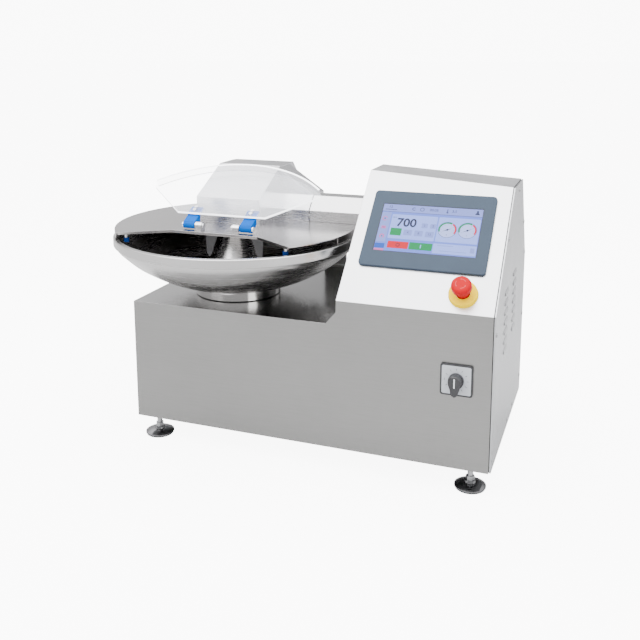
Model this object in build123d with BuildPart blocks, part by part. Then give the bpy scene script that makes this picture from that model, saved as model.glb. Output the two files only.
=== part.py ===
from build123d import *
import math
import os

os.makedirs("parts", exist_ok=True)

# ---------------------------------------------------------------- frame
# Row frame: origin at the bottom centre of the whole machine, +X along the
# front from the bowl to the control tower, +Y to the back, +Z up.
# OX, OY shift the layout (laid out from the cabinet's front left corner).
OX, OY = 360.05, 179.55

# ---------------------------------------------------------------- casing
X0, X1 = 0.0 - OX, 809.6 - OX          # cabinet left and right walls
XT = 486.2 - OX                        # tower's left wall
Y0, Y1 = 0.0 - OY, 461.4 - OY          # front and rear walls
ZB, ZD = 53.9, 329.5                   # underside and deck
ZT = 380.9                             # top of the tower's upright front
SLOPE = math.radians(44.4)             # control panel slope
PANEL_L = 342.2                        # length of the sloping panel at its left edge
ZTOP = ZT + PANEL_L * math.sin(SLOPE)  # highest edge of the tower
YTF = Y0 + PANEL_L * math.cos(SLOPE)   # tower top, front edge
YTR = YTF + 102.0                      # tower top, rear edge
ZRS = 405.9                            # where the rear slope starts
TOP_FALL = 0.0609                      # the tower's top falls to the right
SHEET = 2.0
STEP_A, STEP_B = 22.5, 26.7            # bevel where the deck meets the tower

# ---------------------------------------------------------------- bowl
XB, YB, ZR = 187.5 - OX, 159.7 - OY, 475.1   # bowl axis and rim height
R_RIM_IN, R_RIM = 271.7, 284.0
R_COLLAR = 100.0

# ---------------------------------------------------------------- knife line
YK, ZK = YB + 142.0, ZR + 24.0         # knife shaft axis (along X)
R_KNIFE = 107.0
XKH = XB - 8.0                         # middle of the knife head

# ---------------------------------------------------------------- lid, hood, shield
Z_LID = 493.0                          # top of the lid plate
R_LID = 280.0
LID_FRONT = -121.5                     # lid's front edge, from the bowl axis
LID_W = 105.0                          # half width of that edge
TIP_X, TIP_Y = 207.0, -188.5           # lid tips, from the bowl axis
YH, ZH = 452.0 - OY, 502.0             # lid hinge axis
YS, ZS = 60.0 - OY, 503.0              # shield hinge axis
SHIELD_REST = 153.0                    # shield raised, degrees from closed
SX_TIP, SY_TIP = 214.0, -212.0
R_SHIELD = math.hypot(SX_TIP, SY_TIP)

HX0, HX1 = 88.6 - OX, 249.5 - OX       # hood side walls
HYF, HYR = 147.0 - OY, 430.0 - OY      # hood front and rear walls
ARM_X = 341.0 - OX                     # where the fixed arm cover starts


def block(x0, x1, y0, y1, z0, z1, mode=Mode.ADD):
    with Locations(((x0 + x1) / 2, (y0 + y1) / 2, (z0 + z1) / 2)):
        Box(abs(x1 - x0), abs(y1 - y0), abs(z1 - z0), mode=mode)


def rod_x(x0, x1, y, z, r, mode=Mode.ADD):
    with Locations(Location(((x0 + x1) / 2, y, z), (0, 90, 0))):
        Cylinder(r, abs(x1 - x0), mode=mode)


def rod_y(x, y0, y1, z, r, mode=Mode.ADD):
    with Locations(Location((x, (y0 + y1) / 2, z), (90, 0, 0))):
        Cylinder(r, abs(y1 - y0), mode=mode)


def rod_z(x, y, z0, z1, r, mode=Mode.ADD):
    with Locations((x, y, (z0 + z1) / 2)):
        Cylinder(r, abs(z1 - z0), mode=mode)


def poly_x(pts, x0, x1, mode=Mode.ADD):
    """Prism along X of a polygon given as (y, z) points."""
    with BuildSketch(Plane.YZ.offset(x0)) as sk:
        with BuildLine():
            Polyline(*pts, close=True)
        make_face()
    extrude(sk.sketch, amount=x1 - x0, mode=mode)


def poly_y(pts, y0, y1, mode=Mode.ADD):
    """Prism along Y of a polygon given as (x, z) points."""
    with BuildSketch(Plane(origin=(0, y1, 0), x_dir=(1, 0, 0), z_dir=(0, -1, 0))) as sk:
        with BuildLine():
            Polyline(*pts, close=True)
        make_face()
    extrude(sk.sketch, amount=y1 - y0, mode=mode)


def poly_z(pts, z0, z1, mode=Mode.ADD):
    """Prism along Z of a polygon given as (x, y) points."""
    with BuildSketch(Plane.XY.offset(z0)) as sk:
        with BuildLine():
            Polyline(*pts, close=True)
        make_face()
    extrude(sk.sketch, amount=z1 - z0, mode=mode)


# ================================================================ CASING
def tower_profile(d):
    """Tower side outline (y, z), drawn d inside the outer faces."""
    s, c = math.sin(SLOPE), math.cos(SLOPE)
    # rear slope direction
    ry, rz = YTR - Y1, ZTOP - ZRS
    rl = math.hypot(ry, rz)
    # corner points of the inset outline
    zt = ZT + d * (1 - c) / s * -1 + 0.0
    f_low = (Y0 + d, ZT - d * (1 - c) / s)
    f_top_z = ZTOP - d
    f_top = (YTF + d * (1 - c) / s, f_top_z)
    # inset rear slope passes through (Y1, ZRS) moved inwards by d
    ny, nz = -rz / rl, ry / rl           # inward normal
    py, pz = Y1 + d * ny, ZRS + d * nz
    k = (f_top_z - pz) / rz
    r_top = (py + k * ry, f_top_z)
    k2 = (Y1 - d - py) / ry
    r_low = (Y1 - d, pz + k2 * rz)
    return [(Y0 + d, ZB), f_low, f_top, r_top, r_low, (Y1 - d, ZB)]


with BuildPart() as main_casing:
    block(X0, XT + 5, Y0, Y1, ZB, ZD)
    poly_x(tower_profile(0.0), XT, X1)
    poly_y([(XT - STEP_A, ZD), (XT, ZD), (XT, ZD + STEP_B)], Y0, Y1)
    # hollow: 2 mm sheet all round, open underneath and on the right
    block(X0 + SHEET, XT + 10, Y0 + SHEET, Y1 - SHEET, ZB, ZD - SHEET, mode=Mode.SUBTRACT)
    poly_x(tower_profile(SHEET), XT + SHEET, X1, mode=Mode.SUBTRACT)
    poly_y([(XT - STEP_A + 1.2, ZD - SHEET - 0.5), (XT + 3, ZD - SHEET - 0.5), (XT + 3, ZD + STEP_B - 3.2),
            (XT + SHEET, ZD + STEP_B - 3.2)], Y0 + SHEET, Y1 - SHEET, mode=Mode.SUBTRACT)
    # the top falls away to the right: cut the roof and lay a sloping one
    poly_y([(XT - 5, ZTOP + 5 * TOP_FALL), (X1 + 5, ZTOP - (X1 + 5 - XT) * TOP_FALL), (X1 + 5, ZTOP + 20), (XT - 5, ZTOP + 20)],
           Y0 - 5, Y1 + 5, mode=Mode.SUBTRACT)

with BuildPart() as tower_roof_form:
    poly_x(tower_profile(0.0), XT, X1)
    poly_y([(XT, ZTOP - SHEET), (X1, ZTOP - SHEET - (X1 - XT) * TOP_FALL), (X1, ZTOP - (X1 - XT) * TOP_FALL), (XT, ZTOP)],
           Y0 - 5, Y1 + 5, mode=Mode.INTERSECT)

PAN_X = Vector(1, 0, 0)
PAN_Y = Vector(0, math.cos(SLOPE), math.sin(SLOPE))
PAN_N = Vector(0, -math.sin(SLOPE), math.cos(SLOPE))


def panel_plane(x, t, off=0.0):
    """Plane on the sloping panel: x in the row frame, t up the slope."""
    o = Vector(x, Y0, ZT) + PAN_Y * t + PAN_N * off
    return Plane(origin=o, x_dir=PAN_X, z_dir=PAN_N)


HMI_X, HMI_T = (513.5 + 781.3) / 2 - OX, (88.5 + 283.3) / 2
HMI_W, HMI_H = 267.8, 194.8
EST_X, EST_T = 743.7 - OX, 43.2
SW_X, SW_Z, SW_S = 741.1 - OX, 244.6, 65.6
GLAND_X, GLAND_Z = 745.0 - OX, 120.0
FOOT_X = (34.4 - OX, 768.3 - OX)
FOOT_Y = (36.4 - OY, 425.0 - OY)

REAR_SCREWS = [(x, z) for x in (46, 206, 365, 524, 684) for z in (80, 300)]
SIDE_SCREWS = [(300, 583), (404, 492), (444, 410), (444, 256), (444, 96), (322, 70), (234, 70), (16, 78), (16, 340), (148, 504)]


def side_outline(d):
    """Right side outline (y, z), d inside the casing's right edge."""
    s, c = math.sin(SLOPE), math.cos(SLOPE)
    zr_top = ZTOP - (X1 - XT) * TOP_FALL - d
    fy = lambda z: Y0 + (z - ZT) * c / s
    ry, rz = YTR - Y1, ZTOP - ZRS
    rl = math.hypot(ry, rz)
    py, pz = Y1 - d * rz / rl, ZRS + d * ry / rl
    return [(Y0 + d, ZB + d), (Y0 + d, ZT - d * (1 - c) / s), (fy(zr_top) + d / s, zr_top),
            (py + (zr_top - pz) / rz * ry, zr_top), (Y1 - d, pz + (Y1 - d - py) / ry * rz), (Y1 - d, ZB + d)]


with BuildPart() as side_flange:
    poly_x(side_outline(1.0), X1 - 2, X1)
    poly_x(side_outline(24.0), X1 - 5, X1 + 5, mode=Mode.SUBTRACT)
    with Locations(*[Location((X1, y - OY, z), (0, 90, 0)) for y, z in SIDE_SCREWS]):
        Cylinder(2.4, 20, mode=Mode.SUBTRACT)

with main_casing:
    add(tower_roof_form.part)
    # deck opening for the bowl shaft, arm opening in the tower's left wall
    rod_z(XB, YB, ZD - 10, ZD + 5, 34, mode=Mode.SUBTRACT)
    rod_x(XT - 5, XT + 10, YK, ZK, 20.0, mode=Mode.SUBTRACT)
    # control cut-outs
    with BuildSketch(panel_plane(HMI_X, HMI_T, 5)):
        Rectangle(252, 179)
    extrude(amount=-15, mode=Mode.SUBTRACT)
    with BuildSketch(panel_plane(EST_X, EST_T, 5)):
        Circle(11.2)
    extrude(amount=-15, mode=Mode.SUBTRACT)
    rod_y(SW_X, Y0 - 5, Y0 + 10, SW_Z, 22, mode=Mode.SUBTRACT)
    # service opening in the back wall and the cable gland's hole
    block(52 - OX, 678 - OX, Y1 - 8, Y1 + 5, 87, 293, mode=Mode.SUBTRACT)
    rod_y(GLAND_X, Y1 - 10, Y1 + 5, GLAND_Z, 10, mode=Mode.SUBTRACT)
    with Locations(*[Location((x - OX, Y1, z), (90, 0, 0)) for x, z in REAR_SCREWS]):
        Cylinder(2.4, 12, mode=Mode.SUBTRACT)
    # inward flange that the right side cover screws to
    add(side_flange.part)
main_casing.part.label = "main_casing"
export_step(main_casing.part, "parts/main_casing.step")

with BuildPart() as base_plate:
    block(X0 + SHEET, X1 - 2.0, Y0 + SHEET, Y1 - SHEET, ZB, ZB + 3)
    with Locations(*[(x, y, ZB) for x in FOOT_X for y in FOOT_Y]):
        Cylinder(6.0, 20, mode=Mode.SUBTRACT)
    # air slots
    with Locations(*[(x - OX, 230 - OY, ZB) for x in range(520, 700, 24)]):
        Box(8, 120, 20, mode=Mode.SUBTRACT)
base_plate.part.label = "base_plate"
export_step(base_plate.part, "parts/base_plate.step")


GASKET_T, COVER_T = 1.6, 2.8
with BuildPart() as side_gasket:
    poly_x(side_outline(2.2), X1, X1 + GASKET_T)
    poly_x(side_outline(24.0), X1 - 1, X1 + GASKET_T + 1, mode=Mode.SUBTRACT)
    with Locations(*[Location((X1, y - OY, z), (0, 90, 0)) for y, z in SIDE_SCREWS]):
        Cylinder(2.6, 20, mode=Mode.SUBTRACT)
side_gasket.part.label = "side_gasket"
export_step(side_gasket.part, "parts/side_gasket.step")

XC0, XC1 = X1 + GASKET_T, X1 + GASKET_T + COVER_T
with BuildPart() as right_side_cover:
    with BuildSketch(Plane.YZ.offset(XC0)):
        with BuildLine():
            Polyline(*side_outline(0.6), close=True)
        make_face()
    extrude(amount=COVER_T)
    fillet(right_side_cover.edges().filter_by(Axis.X), 4.0)
    # louvre slots in two columns
    for col, n0, n1 in ((144 - OY, 0, 7), (270 - OY, 0, 7)):
        for i in range(n0, n1):
            z = 262 + 21 * i + (10 if col > 100 - OY and col > 200 - OY else 0)
            block(XC0 - 1, XC1 + 1, col - 22, col + 22, z, z + 5, mode=Mode.SUBTRACT)
    with Locations(*[Location((XC1, y - OY, z), (0, 90, 0)) for y, z in SIDE_SCREWS]):
        Cylinder(2.6, 20, mode=Mode.SUBTRACT)
right_side_cover.part.label = "right_side_cover"
export_step(right_side_cover.part, "parts/right_side_cover.step")

# pressed louvre hoods over the slots, welded to the cover
with BuildPart() as side_louvres:
    for col, n in ((144 - OY, 7), (270 - OY, 7)):
        for i in range(n):
            z = 262 + 21 * i + (10 if col > 200 - OY else 0)
            with BuildSketch(Plane.XZ.offset(-(col + 22))):
                with BuildLine():
                    Polyline((XC1, z + 11), (XC1 + 2.6, z + 3), (XC1 + 2.6, z + 1), (XC1 + 1.6, z + 1), (XC1, z + 6.5), close=True)
                make_face()
            extrude(amount=44)
side_louvres.part.label = "side_louvres"
export_step(side_louvres.part, "parts/side_louvres.step")

with BuildPart() as side_cover_screws:
    with Locations(*[Location((XC1 + 0.9, y - OY, z), (0, 90, 0)) for y, z in SIDE_SCREWS]):
        Cylinder(4.6, 1.8)
    with Locations(*[Location((XC1 - 5, y - OY, z), (0, 90, 0)) for y, z in SIDE_SCREWS]):
        Cylinder(2.4, 10)
    fillet(side_cover_screws.edges().filter_by(GeomType.CIRCLE).group_by(Axis.X)[-1], 1.2)
    with Locations(*[Location((XC1 + 1.8, y - OY, z), (0, 90, 0)) for y, z in SIDE_SCREWS]):
        Box(1.6, 5.2, 1.0, mode=Mode.SUBTRACT)
side_cover_screws.part.label = "side_cover_screws"
export_step(side_cover_screws.part, "parts/side_cover_screws.step")

with BuildPart() as rear_cover:
    block(40 - OX, 690 - OX, Y1, Y1 + 2, 74, 306)
    fillet(rear_cover.edges().filter_by(Axis.Y), 6.0)
    for i in range(9):
        x = 440 - OX + 24 * i
        block(x, x + 6, Y1 - 1, Y1 + 3, 130, 250, mode=Mode.SUBTRACT)
    with Locations(*[Location((x - OX, Y1, z), (90, 0, 0)) for x, z in REAR_SCREWS]):
        Cylinder(2.6, 10, mode=Mode.SUBTRACT)
rear_cover.part.label = "rear_cover"
export_step(rear_cover.part, "parts/rear_cover.step")

with BuildPart() as rear_cover_screws:
    with Locations(*[Location((x - OX, Y1 + 2.9, z), (90, 0, 0)) for x, z in REAR_SCREWS]):
        Cylinder(4.6, 1.8)
    with Locations(*[Location((x - OX, Y1 - 2, z), (90, 0, 0)) for x, z in REAR_SCREWS]):
        Cylinder(2.4, 8)
    fillet(rear_cover_screws.edges().filter_by(GeomType.CIRCLE).group_by(Axis.Y)[-1], 1.2)
rear_cover_screws.part.label = "rear_cover_screws"
export_step(rear_cover_screws.part, "parts/rear_cover_screws.step")

with BuildPart() as cable_gland:
    with BuildSketch(Plane(origin=(GLAND_X, Y1, GLAND_Z), x_dir=(1, 0, 0), z_dir=(0, 1, 0))):
        RegularPolygon(15, 6)
    extrude(amount=6)
    rod_y(GLAND_X, Y1 - 12, Y1 + 14, GLAND_Z, 9.8)
    with BuildSketch(Plane(origin=(GLAND_X, Y1 + 9, GLAND_Z), x_dir=(1, 0, 0), z_dir=(0, 1, 0))):
        Circle(13)
    extrude(amount=13, taper=12)
    with BuildSketch(Plane(origin=(GLAND_X, Y1 - 2 - 5, GLAND_Z), x_dir=(1, 0, 0), z_dir=(0, 1, 0))):
        RegularPolygon(15, 6)
    extrude(amount=5)
    rod_y(GLAND_X, Y1 - 20, Y1 + 30, GLAND_Z, 5.0, mode=Mode.SUBTRACT)
cable_gland.part.label = "cable_gland"
export_step(cable_gland.part, "parts/cable_gland.step")

# ================================================================ FEET
FEET = [(x, y) for x in FOOT_X for y in FOOT_Y]
with BuildPart() as foot_rubbers:
    with Locations(*[(x, y, 1.6) for x, y in FEET]):
        Cylinder(31.0, 3.2)
foot_rubbers.part.label = "foot_rubbers"
export_step(foot_rubbers.part, "parts/foot_rubbers.step")

with BuildPart() as foot_pads:
    for x, y in FEET:
        with BuildSketch(Plane(origin=(x, y, 0), x_dir=(1, 0, 0), z_dir=(0, -1, 0))):
            with BuildLine():
                l1 = Polyline((0, 3.2), (32.9, 3.2), (32.9, 6.4))
                l2 = ThreePointArc((32.9, 6.4), (24.0, 10.6), (12.0, 12.6))
                l3 = Polyline((12.0, 12.6), (10.5, 17.5), (0, 17.5), (0, 3.2))
            make_face()
        revolve(axis=Axis((x, y, 0), (0, 0, 1)), revolution_arc=360)
    with Locations(*[(x, y, 14.0) for x, y in FEET]):
        Cylinder(5.0, 12.0, mode=Mode.SUBTRACT)
foot_pads.part.label = "foot_pads"
export_step(foot_pads.part, "parts/foot_pads.step")

with BuildPart() as foot_spindles:
    with Locations(*[(x, y, (8.0 + 84) / 2) for x, y in FEET]):
        Cylinder(5.0, 84 - 8.0)
    with Locations(*[(x, y, (17.5 + 84) / 2) for x, y in FEET]):
        Cylinder(6.0, 84 - 17.5)
    for x, y in FEET:
        with BuildSketch(Plane.XY.offset(17.5)):
            with Locations((x, y)):
                RegularPolygon(9.5, 6)
        extrude(amount=9)
foot_spindles.part.label = "foot_spindles"
export_step(foot_spindles.part, "parts/foot_spindles.step")

with BuildPart() as foot_nuts:
    for x, y in FEET:
        for z in (ZB - 8, ZB + 3):
            with BuildSketch(Plane.XY.offset(z)):
                with Locations((x, y)):
                    RegularPolygon(11.5, 6)
                    Circle(6.0, mode=Mode.SUBTRACT)
            extrude(amount=8)
foot_nuts.part.label = "foot_nuts"
export_step(foot_nuts.part, "parts/foot_nuts.step")

# ================================================================ BOWL
with BuildPart() as bowl:
    with BuildSketch(Plane(origin=(XB, YB, ZR), x_dir=(1, 0, 0), z_dir=(0, -1, 0))):
        with BuildLine():
            Polyline((R_RIM_IN, -1.2), (R_RIM_IN + 1.2, 0), (R_RIM - 1.5, 0), (R_RIM, -1.5), (R_RIM, -17.5),
                     (R_RIM - 2.2, -17.5), (R_RIM - 2.2, -19.3), (280.0, -20.2))
            Spline((280.0, -20.2), (264.5, -39), (242, -59.5), (215, -77.5), (185, -94.5), (150, -109.5), (112, -119.5),
                   tangents=((-0.45, -1.0), (-1.0, -0.12)))
            Polyline((112, -119.5), (100, -122.0), (12.0, -122.0), (12.0, -14.0), (6.0, -14.0), (6.0, 6.0), (21.0, 6.0),
                     (24.0, 4.5))
            Spline((24.0, 4.5), (29.0, -6), (37, -24), (44, -40), (54, -60), (66, -77), (84, -89), (110, -94.3), (140, -95.0),
                   (172, -88.5), (205, -73.0), (232, -56), (253, -38.5), (266, -20), (R_RIM_IN, -1.2),
                   tangents=((0.45, -1.0), (0.12, 1.0)))
        make_face()
    revolve(axis=Axis((XB, YB, 0), (0, 0, 1)), revolution_arc=360)
bowl.part.label = "bowl"
export_step(bowl.part, "parts/bowl.step")

with BuildPart() as bowl_flange:
    rod_z(XB, YB, ZD + 0.9, ZR - 122.0, R_COLLAR)
    chamfer(bowl_flange.edges().group_by(Axis.Z)[0], 1.2)
    rod_z(XB, YB, ZD - 5, ZR - 100, 15.0, mode=Mode.SUBTRACT)
bowl_flange.part.label = "bowl_flange"
export_step(bowl_flange.part, "parts/bowl_flange.step")

with BuildPart() as bowl_shaft:
    rod_z(XB, YB, 112, ZR - 122.0, 15.0)
    rod_z(XB, YB, ZR - 122.0, ZR - 14.0, 12.0)
    rod_z(XB, YB, ZR - 14.0, ZR + 14.5, 6.0)
    block(XB + 12, XB + 16, YB - 3, YB + 3, 122, 148, mode=Mode.SUBTRACT)
bowl_shaft.part.label = "bowl_shaft"
export_step(bowl_shaft.part, "parts/bowl_shaft.step")

with BuildPart() as bowl_nut:
    rod_z(XB, YB, ZR + 6.0, ZR + 13.0, 20.0)
    fillet(bowl_nut.edges().group_by(Axis.Z)[-1], 3.0)
    with Locations(*[(XB + 21 * math.cos(math.radians(a)), YB + 21 * math.sin(math.radians(a)), ZR + 9.5) for a in range(0, 360, 60)]):
        Cylinder(4.5, 12, mode=Mode.SUBTRACT)
    rod_z(XB, YB, ZR, ZR + 20, 6.0, mode=Mode.SUBTRACT)
bowl_nut.part.label = "bowl_nut"
export_step(bowl_nut.part, "parts/bowl_nut.step")

# bearing housing bolted under the deck
with BuildPart() as bowl_bearing_housing:
    rod_z(XB, YB, ZD - SHEET - 9, ZD - SHEET, 86)
    rod_z(XB, YB, 196, ZD - SHEET, 42)
    rod_z(XB, YB, ZD - SHEET, ZD + 0.0, 33.8)
    rod_z(XB, YB, 190, ZD + 5, 27, mode=Mode.SUBTRACT)
    rod_z(XB, YB, 196, 214, 31, mode=Mode.SUBTRACT)
    rod_z(XB, YB, 300, ZD + 5, 31, mode=Mode.SUBTRACT)
    with Locations(*[(XB + 70 * math.cos(math.radians(a)), YB + 70 * math.sin(math.radians(a)), ZD - 8) for a in range(30, 390, 60)]):
        Cylinder(4.2, 20, mode=Mode.SUBTRACT)
bowl_bearing_housing.part.label = "bowl_bearing_housing"
export_step(bowl_bearing_housing.part, "parts/bowl_bearing_housing.step")

with BuildPart() as bowl_bearings:
    for z0, z1 in ((198, 214), (300, 316)):
        rod_z(XB, YB, z0, z1, 31)
        rod_z(XB, YB, z0 - 1, z1 + 1, 15.05, mode=Mode.SUBTRACT)
bowl_bearings.part.label = "bowl_bearings"
export_step(bowl_bearings.part, "parts/bowl_bearings.step")

R_BP, R_BMP = 90.0, 36.0                # bowl pulley and its motor pulley
XBM, YBM = 392.0 - OX, YB + 6.0         # bowl gearmotor axis


def pulley_z(x, y, z0, r, bore):
    rod_z(x, y, z0, z0 + 24, r)
    rod_z(x, y, z0, z0 + 2.5, r + 4)
    rod_z(x, y, z0 + 21.5, z0 + 24, r + 4)
    rod_z(x, y, z0 - 1, z0 + 25, bore, mode=Mode.SUBTRACT)


with BuildPart() as bowl_pulley:
    pulley_z(XB, YB, 123, R_BP, 15.0)
    with Locations(*[(XB + 52 * math.cos(math.radians(a)), YB + 52 * math.sin(math.radians(a)), 135) for a in range(0, 360, 60)]):
        Cylinder(17, 60, mode=Mode.SUBTRACT)
bowl_pulley.part.label = "bowl_pulley"
export_step(bowl_pulley.part, "parts/bowl_pulley.step")

with BuildPart() as bowl_motor_pulley:
    pulley_z(XBM, YBM, 123, R_BMP, 9.0)
    rod_z(XBM, YBM, 118, 176, 9.0)
bowl_motor_pulley.part.label = "bowl_motor_pulley"
export_step(bowl_motor_pulley.part, "parts/bowl_motor_pulley.step")

with BuildPart() as bowl_gearmotor:
    block(XBM - 52, XBM + 52, YBM - 44, YBM + 44, 158, 214)
    fillet(bowl_gearmotor.edges().filter_by(Axis.Z), 10)
    rod_z(XBM, YBM, 214, 220, 46)
    rod_z(XBM, YBM, 220, 300, 42)
    rod_z(XBM, YBM, 300, 316, 39)
    with Locations(*[(XBM + 43.5 * math.cos(math.radians(a)), YBM + 43.5 * math.sin(math.radians(a)), 260) for a in range(0, 360, 15)]):
        Cylinder(1.6, 70, mode=Mode.SUBTRACT)
    rod_z(XBM, YBM, 150, 178, 9.3, mode=Mode.SUBTRACT)
    # bracket up to the deck
    block(XBM - 60, XBM - 52, YBM - 30, YBM + 30, 170, ZD - SHEET)
    block(XBM - 70, XBM - 52, YBM - 30, YBM + 30, ZD - SHEET - 4, ZD - SHEET)
bowl_gearmotor.part.label = "bowl_gearmotor"
export_step(bowl_gearmotor.part, "parts/bowl_gearmotor.step")


def belt_pts(ax, ay, ra, bx, by, rb):
    """Tangent points of an open belt round two pulleys: both outer tangents."""
    dx, dy = bx - ax, by - ay
    d = math.hypot(dx, dy)
    base = math.atan2(dy, dx)
    g = math.acos((ra - rb) / d)
    out = []
    for sgn in (1, -1):
        a = base + sgn * g
        out.append(((ax + ra * math.cos(a), ay + ra * math.sin(a)), (bx + rb * math.cos(a), by + rb * math.sin(a))))
    return out, base


def belt_loop(ax, ay, ra, bx, by, rb):
    (t1, t2), base = belt_pts(ax, ay, ra, bx, by, rb)
    Line(t1[0], t1[1])
    ThreePointArc(t1[1], (bx + rb * math.cos(base), by + rb * math.sin(base)), t2[1])
    Line(t2[1], t2[0])
    ThreePointArc(t2[0], (ax - ra * math.cos(base), ay - ra * math.sin(base)), t1[0])


with BuildPart() as bowl_belt:
    with BuildSketch(Plane.XY.offset(127)):
        with BuildLine():
            belt_loop(XB, YB, R_BP + 4.4, XBM, YBM, R_BMP + 4.4)
        make_face()
        with BuildLine(mode=Mode.PRIVATE) as inner_loop:
            belt_loop(XB, YB, R_BP + 0.4, XBM, YBM, R_BMP + 0.4)
        add(make_face(inner_loop.edges(), mode=Mode.PRIVATE), mode=Mode.SUBTRACT)
    extrude(amount=16)
bowl_belt.part.label = "bowl_belt"
export_step(bowl_belt.part, "parts/bowl_belt.step")

# ================================================================ KNIFE LINE
XH0, XH1 = 212.0 - OX, 600.0 - OX       # shaft housing
with BuildPart() as knife_shaft_housing:
    rod_x(XH0, XH1, YK, ZK, 20.0)
    rod_x(XT + 2, XT + 14, YK, ZK, 44.0)
    rod_x(XH0 - 2, XH1 + 2, YK, ZK, 14.0, mode=Mode.SUBTRACT)
    for a, b in ((XH0 + 8, XH0 + 22), (XH1 - 16, XH1)):
        rod_x(a, b, YK, ZK, 17.0, mode=Mode.SUBTRACT)
    rod_x(XH0 - 1, XH0 + 8, YK, ZK, 17.0, mode=Mode.SUBTRACT)
    with Locations(*[Location((XT + 8, YK + 34 * math.cos(math.radians(a)), ZK + 34 * math.sin(math.radians(a))), (0, 90, 0)) for a in (45, 135, 225, 315)]):
        Cylinder(3.4, 30, mode=Mode.SUBTRACT)
knife_shaft_housing.part.label = "knife_shaft_housing"
export_step(knife_shaft_housing.part, "parts/knife_shaft_housing.step")

with BuildPart() as knife_bearings:
    for a, b in ((XH0 + 8, XH0 + 20), (XH1 - 14, XH1 - 2)):
        rod_x(a, b, YK, ZK, 17.0)
        rod_x(a - 1, b + 1, YK, ZK, 10.05, mode=Mode.SUBTRACT)
knife_bearings.part.label = "knife_bearings"
export_step(knife_bearings.part, "parts/knife_bearings.step")

with BuildPart() as shaft_seals:
    rod_x(XH0, XH0 + 7, YK, ZK, 17.0)
    rod_x(XH0 - 1, XH0 + 8, YK, ZK, 10.06, mode=Mode.SUBTRACT)
    rod_z(XB, YB, 318, 326, 31)
    rod_z(XB, YB, 315, 330, 15.06, mode=Mode.SUBTRACT)
shaft_seals.part.label = "shaft_seals"
export_step(shaft_seals.part, "parts/shaft_seals.step")

XKP = 634.0 - OX                        # knife pulley, front face
with BuildPart() as knife_shaft:
    rod_x(XKH - 38, XKP + 34, YK, ZK, 10.0)
    rod_x(XKH + 24, XKH + 30, YK, ZK, 19.0)
    rod_x(XKH - 46, XKH - 38, YK, ZK, 7.0)
knife_shaft.part.label = "knife_shaft"
export_step(knife_shaft.part, "parts/knife_shaft.step")


def sickle(ang):
    """Sickle blade outline in (y, z), turned by ang degrees about the shaft."""
    pts = []
    n = 9
    for i in range(n + 1):              # outer, sharpened edge
        f = i / n
        r = 24 + (R_KNIFE - 24) * f ** 0.72
        pts.append((r, -35 + 118 * f))
    inner = []
    for i in range(n, -1, -1):          # back of the blade
        f = i / n
        r = 21 + (R_KNIFE - 3 - 21) * f ** 1.5
        inner.append((r, 2 + 79 * f))
    conv = lambda q: [(YK + r * math.cos(math.radians(a + ang)), ZK + r * math.sin(math.radians(a + ang))) for r, a in q]
    return conv(pts), conv(inner)


BLADES = [(-16.0, 20.0), (0.0, 140.0), (16.0, 260.0)]
with BuildPart() as sickle_knives:
    for dx, ang in BLADES:
        o, b = sickle(ang)
        with BuildSketch(Plane.YZ.offset(XKH + dx - 2.0)):
            with BuildLine():
                Spline(*o)
                Line(o[-1], b[0])
                Spline(*b)
                Line(b[-1], o[0])
            make_face()
            with Locations((YK, ZK)):
                Circle(25.0)
                Circle(10.0, mode=Mode.SUBTRACT)
        extrude(amount=4.0)
sickle_knives.part.label = "sickle_knives"
export_step(sickle_knives.part, "parts/sickle_knives.step")

with BuildPart() as knife_spacers:
    for a, b in ((XKH - 14, XKH - 2), (XKH + 2, XKH + 14), (XKH + 18, XKH + 24), (XKH - 24, XKH - 18)):
        rod_x(a, b, YK, ZK, 20.0)
    rod_x(XKH - 30, XKH + 25, YK, ZK, 10.0, mode=Mode.SUBTRACT)
knife_spacers.part.label = "knife_spacers"
export_step(knife_spacers.part, "parts/knife_spacers.step")

with BuildPart() as knife_nut:
    with BuildSketch(Plane.YZ.offset(XKH - 37)):
        with Locations((YK, ZK)):
            RegularPolygon(19, 6)
    extrude(amount=13)
    rod_x(XKH - 40, XKH - 20, YK, ZK, 10.0, mode=Mode.SUBTRACT)
knife_nut.part.label = "knife_nut"
export_step(knife_nut.part, "parts/knife_nut.step")

R_KP, R_KMP = 46.0, 62.0
YM, ZM = 250.0 - OY, 178.0              # knife motor axis


def pulley_x(x0, y, z, r, bore):
    rod_x(x0, x0 + 30, y, z, r)
    rod_x(x0, x0 + 3, y, z, r + 4)
    rod_x(x0 + 27, x0 + 30, y, z, r + 4)
    rod_x(x0 - 1, x0 + 31, y, z, bore, mode=Mode.SUBTRACT)


with BuildPart() as knife_pulley:
    pulley_x(XKP, YK, ZK, R_KP, 10.0)
    with Locations(*[Location((XKP + 15, YK + 28 * math.cos(math.radians(a)), ZK + 28 * math.sin(math.radians(a))), (0, 90, 0)) for a in range(0, 360, 72)]):
        Cylinder(8, 60, mode=Mode.SUBTRACT)
knife_pulley.part.label = "knife_pulley"
export_step(knife_pulley.part, "parts/knife_pulley.step")

with BuildPart() as knife_motor_pulley:
    pulley_x(XKP, YM, ZM, R_KMP, 12.0)
    rod_x(XKP - 40, XKP + 34, YM, ZM, 12.0)
knife_motor_pulley.part.label = "knife_motor_pulley"
export_step(knife_motor_pulley.part, "parts/knife_motor_pulley.step")

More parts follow.
